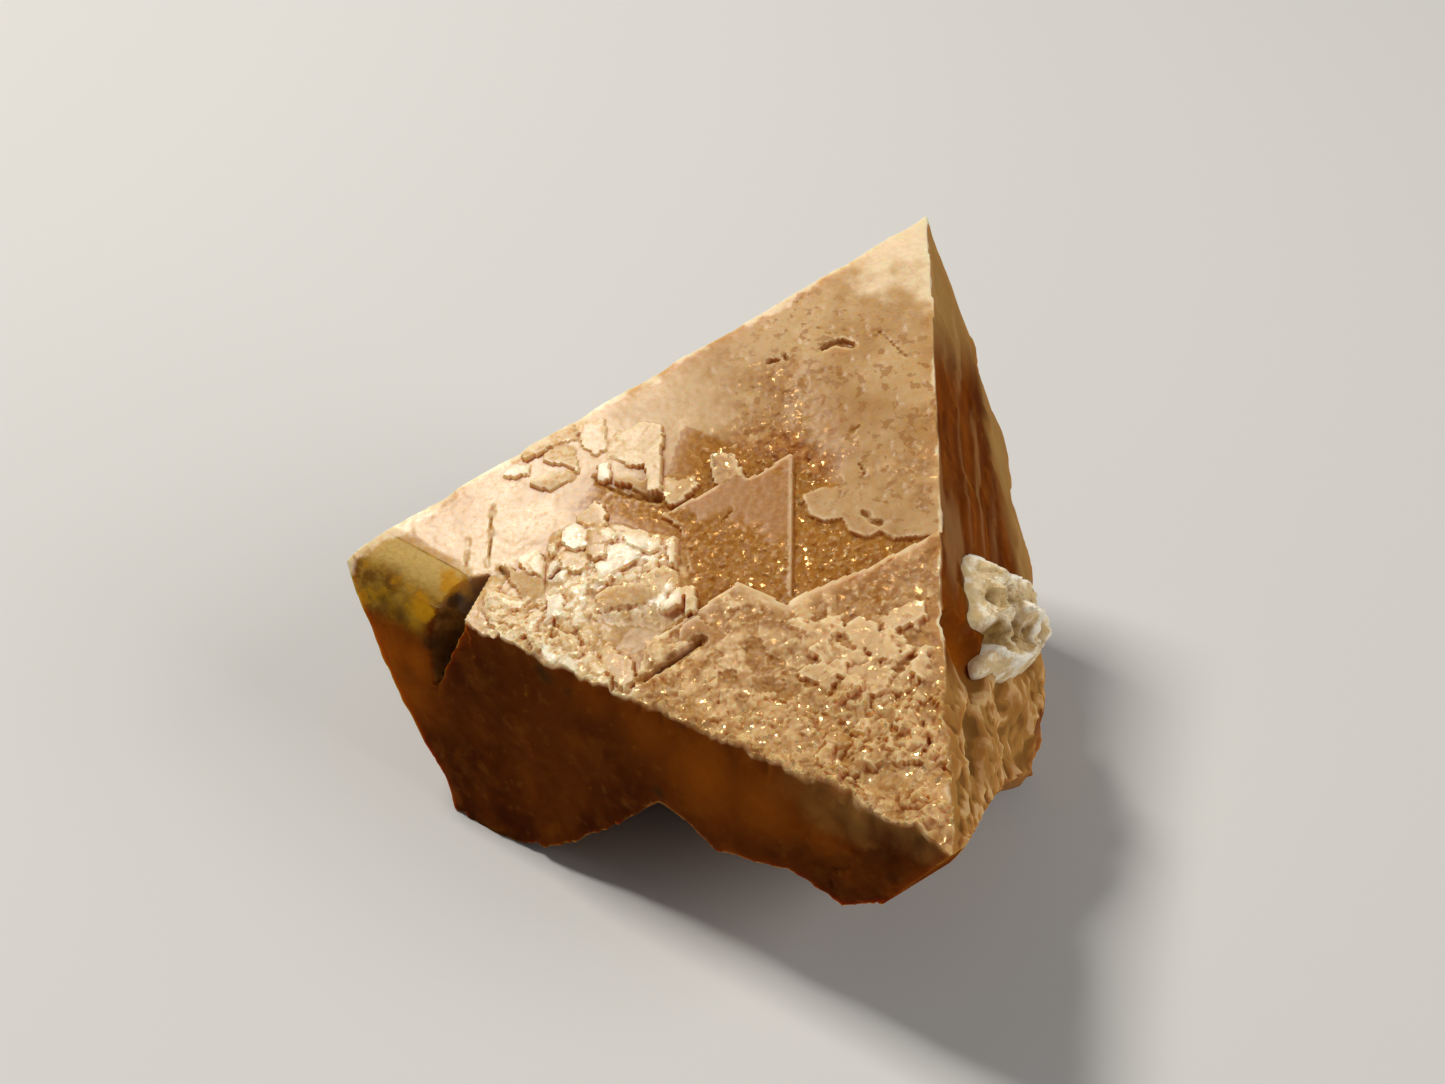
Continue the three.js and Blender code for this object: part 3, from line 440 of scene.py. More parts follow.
def top_layers(points):
    """Height over the top face and its tone: plates at their own levels, lumps, sand, scales and slits."""
    t, s = TOP_FACE.rulers(points)
    x, y = TOP_FACE.flat(t, s).T
    recess, plate, terrace, bed, band = top_zones(points)
    big, coarse, middling = grains(x, y, 1.7, 29), grains(x, y, 0.9, 31), grains(x, y, 0.5, 21)
    fine, dust = grains(x, y, 0.3, 41), grains(x, y, 0.17, 43)
    sand = 0.05 * middling + 0.05 * fine + 0.03 * dust
    soft = rough_noise(points, 1.5, 25)
    tone = 0.5 + 0.25 * soft
    height = 0.03 * rough_noise(points, 3, 3) + 0.008 * fine + 0.7 * sand_patches(points) * sand
    sink = ease(recess, 0, 1)
    height = height - sink * RECESS_DEPTH + sink * sand
    tone = np.where((recess > 0) & (t < 17), 0.14 + 0.2 * soft, tone)
    worn = plate_wear(points)
    height = np.where(plate > 0, LOW_PLATE + 0.008 * fine + worn * (sand - 0.03), height)
    tone = np.where(plate > 0, 0.12 + 0.12 * soft, tone)
    ledges = layers(points, 2.4, 3, 71) * ease(9 - t, 0, 1)
    ground = 1.2 * sand + 0.06 * coarse + 0.22 * ledges - 0.05
    level = HIGH_PLATE - 0.06 * np.exp(-np.maximum(terrace, 0) / 0.2)
    height = np.where(terrace > 0, level + behind_rim(points, terrace) * ground, height)
    tone = np.where(terrace > 0, 0.54 + 0.2 * soft + 0.25 * coarse + 0.1 * ledges, tone)
    left = ease(s, 20.5, 23)
    height = height + left * (0.02 * rough_noise(points, 0.8, 15) + 0.012 * dust)
    field = ease(top_inset(points, SCALE_FIELD) + 0.8 * soft, 0, 1)
    flakes = ease(rough_noise(points, 1.1, 77) + 0.25 * coarse, -0.02, 0.06) * field
    height = height + flakes * (0.24 + 0.1 * coarse + 0.05 * middling)
    tone = tone + flakes * (0.78 + 0.25 * coarse - tone)
    bedding = CLUSTER_RISE * (0.85 + 0.35 * big + 0.25 * coarse + 0.12 * middling) + 0.02 * fine
    height = np.where(bed > 0, np.maximum(height, bedding * ease(bed, -0.1, 0.9)), height)
    lumps = 0.14 + 0.26 * big + 0.2 * coarse + 0.12 * middling + 0.04 * fine
    lumps = lumps * (1 + 0.7 * ease(9 - s, 0, 4))
    lumpy = height * (1 - band) + band * (height * 0.6 + lumps)
    height = np.where(band > 0, np.maximum(height, lumpy), height)
    facets = np.clip(0.7 + 0.55 * coarse + 0.3 * middling + 0.2 * soft, 0, 1)
    duller = np.minimum(facets, 0.8 + 0.2 * ease(s, 12, 18))
    tone = np.where(bed > 0, facets, tone + 0.6 * band * (duller - tone))
    height, tone = raise_plates(height, tone, points)
    return height - slit_depth(points), tone


def top_relief(points):
    return top_layers(points)[0]


# ---- Relief of the other faces ----

# Shell-shaped chips on the right face, as [along, up, depth, radius].
CHIPS = [
    [3, 9.6, 1.1, 3.4], [10.6, 4.6, 0.9, 4.2], [3.6, 5.6, 0.6, 2.6], [9.4, 7, 0.7, 2.4],
    [13.6, 3.4, 0.9, 3.2],
]


def right_relief(points):
    """Height over the right face: long ripples up the face, grains low down, and shells scooped out where
    chips broke off. A shell is the underside of a flattened ball, its rim bent by noise."""
    b, a = RIGHT_FACE.rulers(points)
    x, y = RIGHT_FACE.flat(b, a).T
    height = 0.06 * rough_noise(points, 3.5, 31) + 0.05 * soft_noise(points * [1, 1, 0.25], 0.9, 33)
    height = height + 0.10 * np.floor(2.5 * (0.5 + 0.5 * soft_noise(points * [1, 1, 0.3], 2.2, 35)))
    rough = ease(10 - a, 0, 3)
    height = height + rough * (0.28 * grains(x, y, 1.7, 37) + 0.14 * grains(x, y, 0.8, 39))
    height = height + rough * 0.22 * rough_noise(points, 1.4, 45)
    x, y = x + 1.6 * rough_noise(points, 2.6, 47), y + 1.6 * rough_noise(points, 2.6, 48)
    for p, q, depth, radius in CHIPS:
        cx, cy = RIGHT_FACE.flat(p, q)
        wide = ((x - cx) / radius) ** 2 + ((y - cy) / (0.8 * radius)) ** 2
        shell = 0.75 * radius * (1 - np.sqrt(np.clip(1 - wide, 0, 1))) - depth
        height = np.where(wide < 1, np.minimum(height, shell + 0.3 * height), height)
    return height


def front_relief(points):
    """Height over the front face: slow waves with fine ripples, growth layers, lumps low down, a bulge
    (a bell) near its lower left rim, and grains along its top and in its right corner."""
    s, u = FRONT_FACE.rulers(points)
    x, y = FRONT_FACE.flat(s, u).T
    height = 0.09 * rough_noise(points, 6, 51) + 0.04 * rough_noise(points, 1.3, 53)
    steps = 0.12 * layers(points, 5, 3, 55)
    lumpy = ease(u, 3.5, 7.5) * (0.22 * rough_noise(points, 1.8, 57) + 0.06 * grains(x, y, 0.7, 59))
    bulge = 0.4 * np.exp(-(((s - 18) / 4) ** 2 + ((u - 15) / 3) ** 2))
    upper = ease(1.6 - u, 0, 1.4) * (0.16 * grains(x, y, 1.2, 85) + 0.1 * grains(x, y, 0.5, 86))
    chunks = 0.2 * grains(x, y, 1.5, 87) + 0.2 * rough_noise(points, 1.3, 88) - 0.1
    return height + steps + lumpy + bulge + upper + ease(7 - s, 0, 4) * chunks


# Growth steps on the two hidden faces, as (face, middle, sizes): nested plates, each higher than the last.
HIDDEN_STEPS = [
    (BACK_LEFT, (13, 9), ((9, 7), (6, 4.6), (3, 2.4))),
    (BACK_LEFT, (5, 18), ((4, 5), (2.4, 3))),
    (BACK_RIGHT, (7, 10), ((6, 7), (4, 4.6), (2, 2.4))),
]


def hidden_relief(face, seed):
    """Height over a face that is seldom seen: slow waves, growth layers and, on some, nested plates."""
    def relief(points):
        height = 0.06 * rough_noise(points, 5, seed) + 0.2 * layers(points, 6, 4, seed + 3) - 0.1
        height = height + 0.02 * rough_noise(points, 0.9, seed + 7)
        for owner, (p, q), sizes in HIDDEN_STEPS:
            for level, (length, width) in enumerate(sizes, 1):
                if owner is face:
                    left, right, low, high = p - length / 2, p + length / 2, q - width / 2, q + width / 2
                    outline = [[left, low], [right, low], [right, q + width / 3], [p, high], [left, high]]
                    stray = 0.5 * rough_noise(points, 2.2, seed + 9 + level)
                    held = face.inset(points, outline) + stray > 0
                    height = np.where(held, np.maximum(height, 0.2 * level), height)
        return height
    return relief


RELIEFS = {id(TOP_FACE): top_relief, id(FRONT_FACE): front_relief, id(RIGHT_FACE): right_relief}
for number, face in enumerate(FACES[3:]):
    RELIEFS[id(face)] = hidden_relief(face, 201 + 20 * number)

WEAR_DEPTH, WEAR_REACH = 0.13, 0.4        # how deep and how far from an edge the edges are worn
CORNER_EASE = 1.2                         # within this of a corner the relief fades away


def relief_over(face, points):
    """A face's own relief, faded at the corners and worn down in patches along the edges."""
    height = RELIEFS[id(face)](points)
    corners = [PEAK, NOSE, TIP, ROOT, RIGHT, BACK]
    nearest = np.min([np.linalg.norm(points - corner, axis=1) for corner in corners], axis=0)
    height = height * ease(nearest, 0.2, CORNER_EASE)
    edge = np.min([-distance_past(points, a, outwards) for a, outwards, _ in face.edges], axis=0)
    patches = ease(rough_noise(points, 2.2, 301), -0.35, 0.6)
    return height - WEAR_DEPTH * patches * np.exp(-np.maximum(edge, 0) / WEAR_REACH)


def distance_past(points, start, outwards):
    return (points - start) @ outwards


def join_edges():
    """Gives every face its three edges as (a point on it, the way out of the face across it, neighbour)."""
    for face, net in zip(FACES, NETS):
        for a, b in zip(net, np.roll(net, -1, 0)):
            beside = [other for other, corners in zip(FACES, NETS) if other is not face
                      and all(any(np.allclose(c, corner) for corner in corners) for c in (a, b))]
            face.edges.append((a, unit(np.cross(b - a, face.out)), beside[0]))


join_edges()

EDGE_BLEND = 1.1          # width of the strip beside an edge that follows the relief of the face across it


def grown(points, owner):
    """Points moved off their faces by the relief. Along an edge a point goes where the raised faces meet:
    by its own height h along its normal, and by (k - c h) / s across the edge, where k is the neighbour's
    height and c and s the cosine and sine of the angle between the two normals."""
    moved = points.copy()
    for number, face in enumerate(FACES):
        mine = owner == number
        own = points[mine]
        shift = face.out * relief_over(face, own)[:, None]
        for start, outwards, other in face.edges:
            inward = -distance_past(own, start, outwards)
            close = inward < EDGE_BLEND
            foot = own[close] + outwards * inward[close][:, None]
            c = face.out @ other.out
            slide = (relief_over(other, foot) - c * relief_over(face, foot)) / math.sqrt(1 - c * c)
            shift[close] += outwards * (slide * (1 - inward[close] / EDGE_BLEND))[:, None]
        moved[mine] = own + shift
    return moved


# ---- Groove, trench and worn nose ----

FLAT = 1e-6           # lengths under this count as nothing


def hull_planes(corners):
    """Planes (normal, reach) round a convex body, one for each three corners with all others behind."""
    corners = np.array(corners)
    planes = []
    for a, b, c in itertools.combinations(corners, 3):
        normal = np.cross(b - a, c - a)
        if np.linalg.norm(normal) < FLAT:
            continue
        normal = unit(normal)
        reach = corners @ normal - a @ normal
        if reach.max() < FLAT:
            planes.append((normal, a @ normal))
        elif reach.min() > -FLAT:
            planes.append((-normal, -a @ normal))
    return planes


def pushed_out(points, corners, push):
    """Points inside a convex body move along push until they leave it: the body's own walls are cut in."""
    leave = np.full(len(points), np.inf)
    depth = np.full(len(points), np.inf)
    for normal, reach in hull_planes(corners):
        room = reach - points @ normal
        depth = np.minimum(depth, room)
        if normal @ push > FLAT:
            leave = np.minimum(leave, room / (normal @ push))
    return points + np.where(depth > 0, leave, 0)[:, None] * push


RIDGE_IN = -unit(TOP_FACE.out + FRONT_FACE.out)      # the way in, straight below the front ridge
NOSE_START = 26.6                                    # s where the groove parts the nose from the rest
NOSE_BEVELS = [(3.1, 0, 13), (1.3, 0.36, 36), (0.2, 1.05, 56)]     # t, drop, angle
NOSE_SOFTNESS = 0.35                                 # how softly one bevel turns into the next


def nose_worn(points):
    """The nose's ridge under its bevels. Each bevel is a plane; a point goes in along RIDGE_IN by a soft
    maximum of its ways to the planes: the log of the sum of their exponentials."""
    s = TOP_FACE.rulers(points)[1]
    outwards = np.cross(TOP_FACE.out, unit(on_top(32, 3.4) - on_top(26, 3)))
    ways = [np.zeros(len(points))]
    for t, drop, angle in NOSE_BEVELS:
        tilt = math.radians(angle)
        normal = unit(TOP_FACE.out * math.cos(tilt) + outwards * math.sin(tilt))
        ways.append((points - on_top(29, t, -drop)) @ normal / -(normal @ RIDGE_IN))
    powers = np.exp(np.clip(np.array(ways) / NOSE_SOFTNESS, -30, 30))
    soft = NOSE_SOFTNESS * np.log(np.sum(powers, axis=0))
    soft = np.maximum(soft - NOSE_SOFTNESS * math.log(2), 0)
    near = (s > NOSE_START) & (np.array(ways).max(0) > -2)
    return points + np.where(near, soft, 0)[:, None] * RIDGE_IN


CUT_FULL = 0.4                                       # a point moved this far counts as on the groove's wall
GROOVE = [
    on_top(24.7, 4.2, 0.9), on_top(26.9, 2.9, 0.9), on_top(28.8, -0.9, 0.3), on_top(26.9, -1.2, 0.6),
    FRONT_FACE.at(25.6, 6.9, 0.2), FRONT_FACE.at(28.9, 1.6, 0.5), FRONT_FACE.at(26.6, 1.2, 0.6),
    on_top(26.6, 1.6, -1.9), FRONT_FACE.at(26.6, 3.8, -1.3),
]
TRENCH = [
    on_top(16.1, 1.1, 1.6), on_top(12.5, 5.2, 1.6), on_top(12.1, 4.6, 1.6), on_top(15.6, 0.7, 1.6),
    on_top(15.6, 1.4, -0.35), on_top(12.7, 4.6, -0.35),
]

# ---- Broken base and side ----

# Rim of the broken base along the front, as [x, height over the resting plane].
FRONT_RIM = np.array([
    [-22, 0], [-9.5, 0], [-7.1, 1.5], [-5.3, 3.6], [-3.9, 5.3], [-2.2, 7.9], [-0.7, 7.5], [0.8, 6.5],
    [4.1, 7.6], [6.7, 7.1], [8.5, 8.6], [10.2, 10.6], [11.8, 12.6], [13.2, 11], [14.8, 9.1], [16, 7.4],
    [17.1, 6], [22, 5],
])
FEET = [[-10.6, -5.6], [-2.4, 15], [14.4, -0.4]]      # lobes that touch the resting plane, as [x, y]
FOOT_RADIUS, FOOT_SLOPE, FOOT_LINE = 3.0, 3.0, -4.5
HOLLOW, HACKLE = 1.5, 0.75
HALVINGS = 18         # steps in the search for the break along a ray


def base_height(x, y):
    """Height of the broken base: it falls from its front rim to the resting plane, rim times a power of the
    share of the way, and is hollow between its feet, with ripples and splinters in the hollow."""
    rim = np.interp(x, *FRONT_RIM.T)
    on_faces = [f.corner[1] - (f.out[0] * (x - f.corner[0]) + f.out[2] * (rim - f.corner[2])) / f.out[1]
                for f in (FRONT_FACE, RIGHT_FACE)]
    rim_y = np.minimum(np.maximum(*on_faces), FOOT_LINE - 1)
    rise = np.clip((FOOT_LINE - y) / (FOOT_LINE - rim_y), 0, 1.15) ** 1.2
    hackle = np.sin(0.9 * x + 0.4 * y) * np.sin(0.35 * x - 1.1 * y + 1) + 0.5 * np.sin(1.9 * x + 1.3 * y)
    clear = np.min([np.hypot(x - fx, y - fy) for fx, fy in FEET], axis=0) - FOOT_RADIUS
    level = np.stack([x, y, 0 * x], 1)
    splinters = 0.3 * rough_noise(level, 1.6, 401) + 0.16 * grains(x, y, 1.1, 405)
    hollow = np.clip(clear / FOOT_SLOPE, 0, 1) * (HOLLOW + HACKLE * hackle + splinters)
    chipped = 0.25 * rough_noise(level, 1.3, 407) + 0.14 * grains(x, y, 0.7, 409)
    ragged = rim + ease(rise, 0, 0.6) * chipped
    return np.maximum(np.maximum(ragged * rise, hollow * (1 - np.minimum(rise, 1))), 0)


def side_break_x(y, z):
    """Where the side break lies: nearly upright, curving in to the front and back, with ripples."""
    curve = 0.016 * (y + 0.8) ** 2
    hackle = 0.33 * np.sin(0.8 * y + 0.5 * z) + 0.27 * np.sin(1.1 * z - 0.6 * y)
    level = np.stack([0 * y, y, z], 1)
    splinters = 0.3 * rough_noise(level, 1.7, 421) + 0.14 * grains(y, z, 1.2, 425) - 0.2
    return SIDE_BREAK - curve + HACKLE * hackle + splinters


def is_sound(points):
    """Whether a point is in the crystal that is left: over the base break and left of the side break."""
    x, y, z = points.T
    return (z >= base_height(x, y)) & (x <= side_break_x(y, z))


def broken(points):
    """Points past a break go back along their ray from INSIDE until they meet it, by halving."""
    gone = np.flatnonzero(~is_sound(points))
    ray = points[gone] - INSIDE
    low, high = np.zeros(len(gone)), np.ones(len(gone))
    for _ in range(HALVINGS):
        middle = (low + high) / 2
        sound = is_sound(INSIDE + ray * middle[:, None])
        low, high = np.where(sound, middle, low), np.where(sound, high, middle)
    moved = points.copy()
    moved[gone] = INSIDE + ray * low[:, None]
    share = np.zeros(len(points))
    share[gone] = 1
    return moved, share


# ---- The skin ----


def triangular_grid(a, b, c, count, halve_first_edge):
    """Points a + (b - a) i / count + (c - a) j / count and the triangles between them. Halved, the side
    from a to b has a point more in the middle of each step, as its finer neighbour has."""
    i, j = np.meshgrid(np.arange(count + 1), np.arange(count + 1), indexing="ij")
    held = i + j <= count
    number = np.full(held.shape, -1)
    number[held] = np.arange(held.sum())
    points = a + np.outer(i[held], (b - a) / count) + np.outer(j[held], (c - a) / count)
    i0, j0 = i[i + j < count], j[i + j < count]
    if halve_first_edge:
        steps = np.arange(count)
        middles = len(points) + steps
        points = np.concatenate([points, a + np.outer(steps + 0.5, (b - a) / count)])
        halves = np.concatenate([
            np.stack([number[steps, 0], middles, number[steps, 1]], 1),
            np.stack([middles, number[steps + 1, 0], number[steps, 1]], 1)])
        i0, j0 = i0[j0 > 0], j0[j0 > 0]
    pointing = np.stack([number[i0, j0], number[i0 + 1, j0], number[i0, j0 + 1]], 1)
    i1, j1 = i[i + j < count - 1], j[i + j < count - 1]
    hanging = np.stack([number[i1 + 1, j1], number[i1 + 1, j1 + 1], number[i1, j1 + 1]], 1)
    triangles = np.concatenate([pointing, hanging] + ([halves] if halve_first_edge else []))
    return points, triangles


MERGE = 1e-4          # points of two faces that round to the same multiple of this are one
GRID = 134            # steps along an edge; the top face, which has the finest relief, has twice as many


def dipyramid():
    """The flat-faced crystal as (points, triangles, owner): owner is the number of a point's face."""
    points, triangles, owner, start = [], [], [], 0
    for number, (a, b, c) in enumerate(NETS):
        grid, faces = triangular_grid(a, b, c, GRID * (2 if number == 0 else 1), 1 <= number <= 3)
        points.append(grid)
        triangles.append(faces + start)
        owner.append(np.full(len(grid), number))
        start += len(grid)
    points, triangles, owner = np.concatenate(points), np.concatenate(triangles), np.concatenate(owner)
    _, first, place = np.unique(np.round(points / MERGE).astype(np.int64), axis=0,
                                return_index=True, return_inverse=True)
    return points[first], place.reshape(-1)[triangles], owner[first]


def add_skin(name, points, triangles, finish, sharp, zones):
    """A mesh in metres from arrays in millimetres; edges sharper than the given angle stay crisp."""
    mesh = bpy.data.meshes.new(name)
    mesh.from_pydata(points * MM, [], triangles)
    for zone, share in zones.items():
        layer = mesh.attributes.new(zone, "FLOAT", "POINT")
        layer.data.foreach_set("value", np.asarray(share, np.float32))
    mesh.shade_smooth()
    mesh.set_sharp_from_angle(angle=math.radians(sharp))
    mesh.materials.append(finish)
    thing = bpy.data.objects.new(name, mesh)
    bpy.context.scene.collection.objects.link(thing)
    return thing


def crystal_skin():
    """The whole crystal's points, triangles and zones: shares from 0 to 1 that its finish reads."""
    flat, triangles, owner = dipyramid()
    whole = nose_worn(grown(flat, owner))
    points = pushed_out(whole, GROOVE, RIDGE_IN)
    cut = np.minimum(np.linalg.norm(points - whole, axis=1) / CUT_FULL, 1)
    points = pushed_out(points, TRENCH, -TOP_FACE.out)
    points, fracture = broken(points)
    low, high = np.array(cad_box) / MM
    points = np.clip(points, low, high)
    return points, triangles, zones_of(flat, points, triangles, owner, cut, fracture)


# Spots of colour on the skin, as (x, y, z, radius, share): painted light coming through, and painted shade
# with some stains.
PAINTED_AMBER_GLOW_SPOTS = [(-14.4, -3.4, 12.3, 1, 1), (-12.8, -3.1, 13.7, 1, 1), (-12.2, -3.2, 13.5, 0.7, 0.8),
              (-15.2, -2.6, 12.9, 1.5, 0.4)]
# dark spots: painted shade in crevices, on shaded facets and along the front ridge, with some dark stains
SHADE_AND_STAIN_SPOTS = [(-12.6, -3.5, 12.8, 0.5, 1), (-13.2, -3.8, 12.3, 0.5, 1), (-7.6, -8.5, 12.6, 0.8, 0.9),
              (-6.6, -9.2, 12.4, 0.7, 0.7), (-16.5, -2.2, 11.6, 0.8, 0.6), (-15.7, -2.9, 11.5, 0.7, 0.7),
              (-17.1, -2.1, 10.6, 0.6, 0.5), (-14, -4.2, 10.8, 0.55, 0.9), (-13.6, -4.2, 9.8, 0.5, 0.9),
              (-2, -12.5, 8.6, 0.6, 0.8), (8.6, -19.3, 10.3, 0.5, 0.9)]
PAINTED_GLOW_SPOTS = [(-4.9, -10.4, 12.8, 1.6, 0.5), (-2.4, -12, 12.4, 2.4, 0.8), (0, -13.6, 11.4, 2.6, 1),
              (2.8, -15.5, 11.4, 2.4, 0.9), (5.9, -17.6, 10.8, 2.2, 0.5), (-16.8, -2.7, 8.8, 2.4, 1),
              (-14.9, -4, 9, 1.6, 1), (-15.5, -3.8, 6.9, 2, 0.8), (12.1, -8.8, 13.8, 1.8, 0.9)]


def spotted(points, spots):
    """Share from 0 to 1 of the strongest spot: a bell, its share times exp(-(way / radius) squared)."""
    shares = [share * np.exp(-(np.linalg.norm(points - place, axis=1) / radius) ** 2)
              for *place, radius, share in spots]
    return np.max(shares, axis=0)


def edge_way(points, a, b):
    """Distance from each point to the crystal's edge from a to b."""
    share = np.clip((points - a) @ (b - a) / ((b - a) @ (b - a)), 0, 1)
    return np.linalg.norm(points - a - share[:, None] * (b - a), axis=1)


def sunken(height, triangles, rounds=3):
    """How far each point lies under its neighbourhood: the mean of the neighbours' heights, taken over
    and over so that it reaches further out, less the point's own."""
    ends = np.concatenate([triangles[:, [0, 1]], triangles[:, [1, 2]], triangles[:, [2, 0]]])
    counts = np.bincount(ends[:, 0], minlength=len(height))
    mean = height
    for _ in range(rounds):
        mean = np.bincount(ends[:, 0], mean[ends[:, 1]], len(height)) / np.maximum(counts, 1)
    return mean - height


def zones_of(flat, points, triangles, owner, cut, fracture):
    """Zones of the crystal's finish. Sandy: sparkling granular ground. Bright: cream skin towards the nose,
    at the peak and on the bed of blocks, with a painted glare over it. Tone: light or dark of each plate,
    on the
    blocks partly painted light and shade of their facets. Rough: the bed of blocks and the front band.
    Clear:
    bare glassy crystal. Worn: edges, and the terrace's rim, which is partly a painted highlight. Hollow:
    low places between high ones, painted with shade, and the high ones, painted with highlights. Slit:
    slits and
    cracks, painted with shade. Pitted: small pits, painted with shade. Painted light coming through the
    crystal: a zone of spots and a wash over the right face, and one of amber spots. Dark: painted shade in
    crevices, on shaded facets and along the front ridge, with some dark stains. Lumpy: golden lumps low on
    the
    right and front faces. Streak and olive: pale lines and the outer strip of the right face. Cut: the
    groove's
    walls, painted with shade. Fracture: the breaks."""
    top = owner == 0
    recess, plate, terrace, bed, band = top_zones(flat)
    t, s = TOP_FACE.rulers(flat)
    waver = rough_noise(flat, 2.5, 501)
    height, tone = top_layers(flat)
    height = np.where(top, height, np.where(owner == 2, right_relief(flat), 0))
    sandy = ease(recess + 0.5 * rough_noise(flat, 1.5, 67), 0, 0.9) * (plate <= 0) * (terrace <= 0)
    worn_plate = ease(plate, 0, 0.4) * plate_wear(flat) * (terrace <= 0)
    rim = behind_rim(flat, terrace)
    sandy = np.max([sandy, 0.5 * rim, 0.85 * worn_plate, 0.35 * sand_patches(flat)], axis=0)
    rims = ease(terrace, 0, 0.1) * (1 - rim) * ease(t, 5, 7)
    back_ridge, right_ridge = edge_way(flat, PEAK, NOSE), edge_way(flat, PEAK, TIP)
    hidden_edges = ((PEAK, BACK), (NOSE, BACK), (PEAK, RIGHT))
    hidden = np.min([edge_way(flat, *ends) for ends in hidden_edges], axis=0)
    fray, fuzz = rough_noise(flat, 1.3, 505), rough_noise(flat, 0.45, 507)
    near_tip = edge_way(flat, TIP, NOSE)
    worn = np.max([
        ease(1.3 + 1.2 * fray + 0.6 * fuzz - back_ridge, 0, 1.8),
        0.7 * ease(0.15 + 0.5 * fray - right_ridge, 0, 0.25),
        0.6 * ease(0.25 + 0.6 * fray - hidden, 0, 0.4),
        # the terrace's rim: a cream strip, partly wear and partly a painted highlight where the rim faces
        # the light
        top * 0.5 * rims * ease(0.3 + fray, 0, 0.4),
        top * 0.85 * ease(t + 2 * waver + 3 * fray, 26.5, 33.5),
        0.6 * ease(1 + 1.2 * fray - near_tip, 0, 1.2) * ease(7 - s, 0, 4)], axis=0)
    b, a = RIGHT_FACE.rulers(flat)
    right = owner == 2
    lines = soft_noise(np.stack([b + 0.1 * a, 0.14 * a, 0 * a], 1), 0.8, 503)
    olive = right * np.maximum(ease(b + 0.42 * a + 1.5 * waver, 17.5, 20), ease(a, 26, 31))
    olive = np.maximum(olive, right * 0.4 * ease(9 - a + waver, 0, 2))
    along, down = FRONT_FACE.rulers(flat)
    faded = (owner == 1) * ease(3 - down + 2 * waver + 2 * fray, 0, 4)
    faded = faded * ease(9 - along + 2 * waver, 0, 6)
    lumpy = np.maximum(right * ease(10 - a + waver, 0, 3), faded)
    ridge = np.minimum(np.minimum(edge_way(flat, FRONT, NOSE), right_ridge), back_ridge)
    low = sunken(height, triangles) * ease(ridge, 0.3, 1)
    under = (TOP_FACE.corner - points) @ TOP_FACE.out
    beyond = np.where(owner == 1, along - 2 + 0.62 * (down - 1.6), s + waver * (owner > 1))
    nose = ease(beyond + fuzz * (owner > 1), 26.2, 27.6) * ease(points[:, 2] + waver, 10, 11.6)
    nose = nose * (1 - cut) * (1 - ease(under + waver, 2.6, 3.8))
    nose = nose * np.where(top, ease(0.9 + 0.067 * s - t, -0.1, 0.1), 1)
    # the bright zone: cream skin with a painted glare over it, strongest towards the nose
    cream_and_glare = np.max([
        ease(s + 1.5 * waver, 12, 23), 0.8 * ease(t + waver + 2 * fray, 26, 34),
        0.28 * ease(t + waver, 22, 27), 0.85 * ease(bed, 0, 1.2)], axis=0)
    # painted light coming through the crystal: spots, and a faint wash over the right face, weaker towards
    # its pale lines
    painted_glow_share = np.maximum(spotted(points, PAINTED_GLOW_SPOTS), right * (0.3 - 0.2 * ease(lines, -0.5, -0.1)))
    return {
        "sandy": top * sandy,
        "bright": top * cream_and_glare,
        "tone": np.where(top, tone, 0.5),
        "rough": top * np.maximum(ease(bed, -0.2, 0.4), 0.8 * band),
        "clear": 1.0 * ~top,
        "nose": nose * (0.5 + 0.5 * ease(points[:, 2] + 0.4 * waver, 12.6, 14.2)),
        "worn": worn * (1 - fracture),
        # above 0.5 in low places, painted with shade; below 0.5 on high places, painted with highlights
        "hollow": np.clip(0.5 + 4 * low, 0, 1),
        "slit": top * ease(slit_depth(flat), 0.06, 0.16),
        "pitted": top * pitted_share(flat),
        "painted_glow": painted_glow_share,
        "painted_amber_glow": spotted(points, PAINTED_AMBER_GLOW_SPOTS),
        "dark": spotted(points, SHADE_AND_STAIN_SPOTS),
        "olive": olive,
        "lumpy": lumpy,
        "streak": right * ease(lines, 0.15, 0.6) * ease(a, 10, 14),
        "cut": cut,
        "fracture": fracture,
    }


# ---- The crust ----

CRUST_OUTLINE = [
    [4.1, 15.6], [5.8, 15], [7.9, 14.5], [11.2, 14], [13.5, 13.3], [14.9, 12.4], [16, 11.4], [16.4, 10.1],
    [15.1, 8.8], [12.8, 8.3], [10.5, 8], [7.7, 8.2], [4.8, 8.7], [5, 9.7], [6.3, 10.5], [4.8, 11],
    [2.1, 11.5], [3.5, 12.3], [3, 13.6], [3.2, 15],
]
# Its hollows as [along, up, depth, radius], and the lines of its ribs.
CRUST_HOLLOWS = [
    [6.2, 10.6, 1, 0.8], [8.4, 10.8, 1, 0.8], [10.2, 10.4, 0.6, 0.6], [5.1, 12.8, 0.6, 0.5],
    [7.3, 12.8, 0.6, 0.6], [9.3, 12.6, 0.6, 0.5], [12.2, 10.9, 1.1, 1], [14.3, 9.2, 0.8, 0.6],
    [11.4, 12.4, 0.6, 0.5], [13.6, 12, 0.5, 0.5],
]
CRUST_RIBS = [
    [[2.1, 11.6], [3.7, 11.2], [5, 10.2], [6.2, 9.5], [7.4, 9], [9.2, 8.9], [10.8, 9.5], [13.2, 9.9],
     [15, 10.4]],
    [[4.1, 15.2], [6.4, 14.2], [9, 13.9], [12.4, 13], [14.6, 11.8], [15.7, 10.4]],
    [[8.6, 12], [10.2, 11.6], [11, 10.6], [10.9, 9.6]],
]
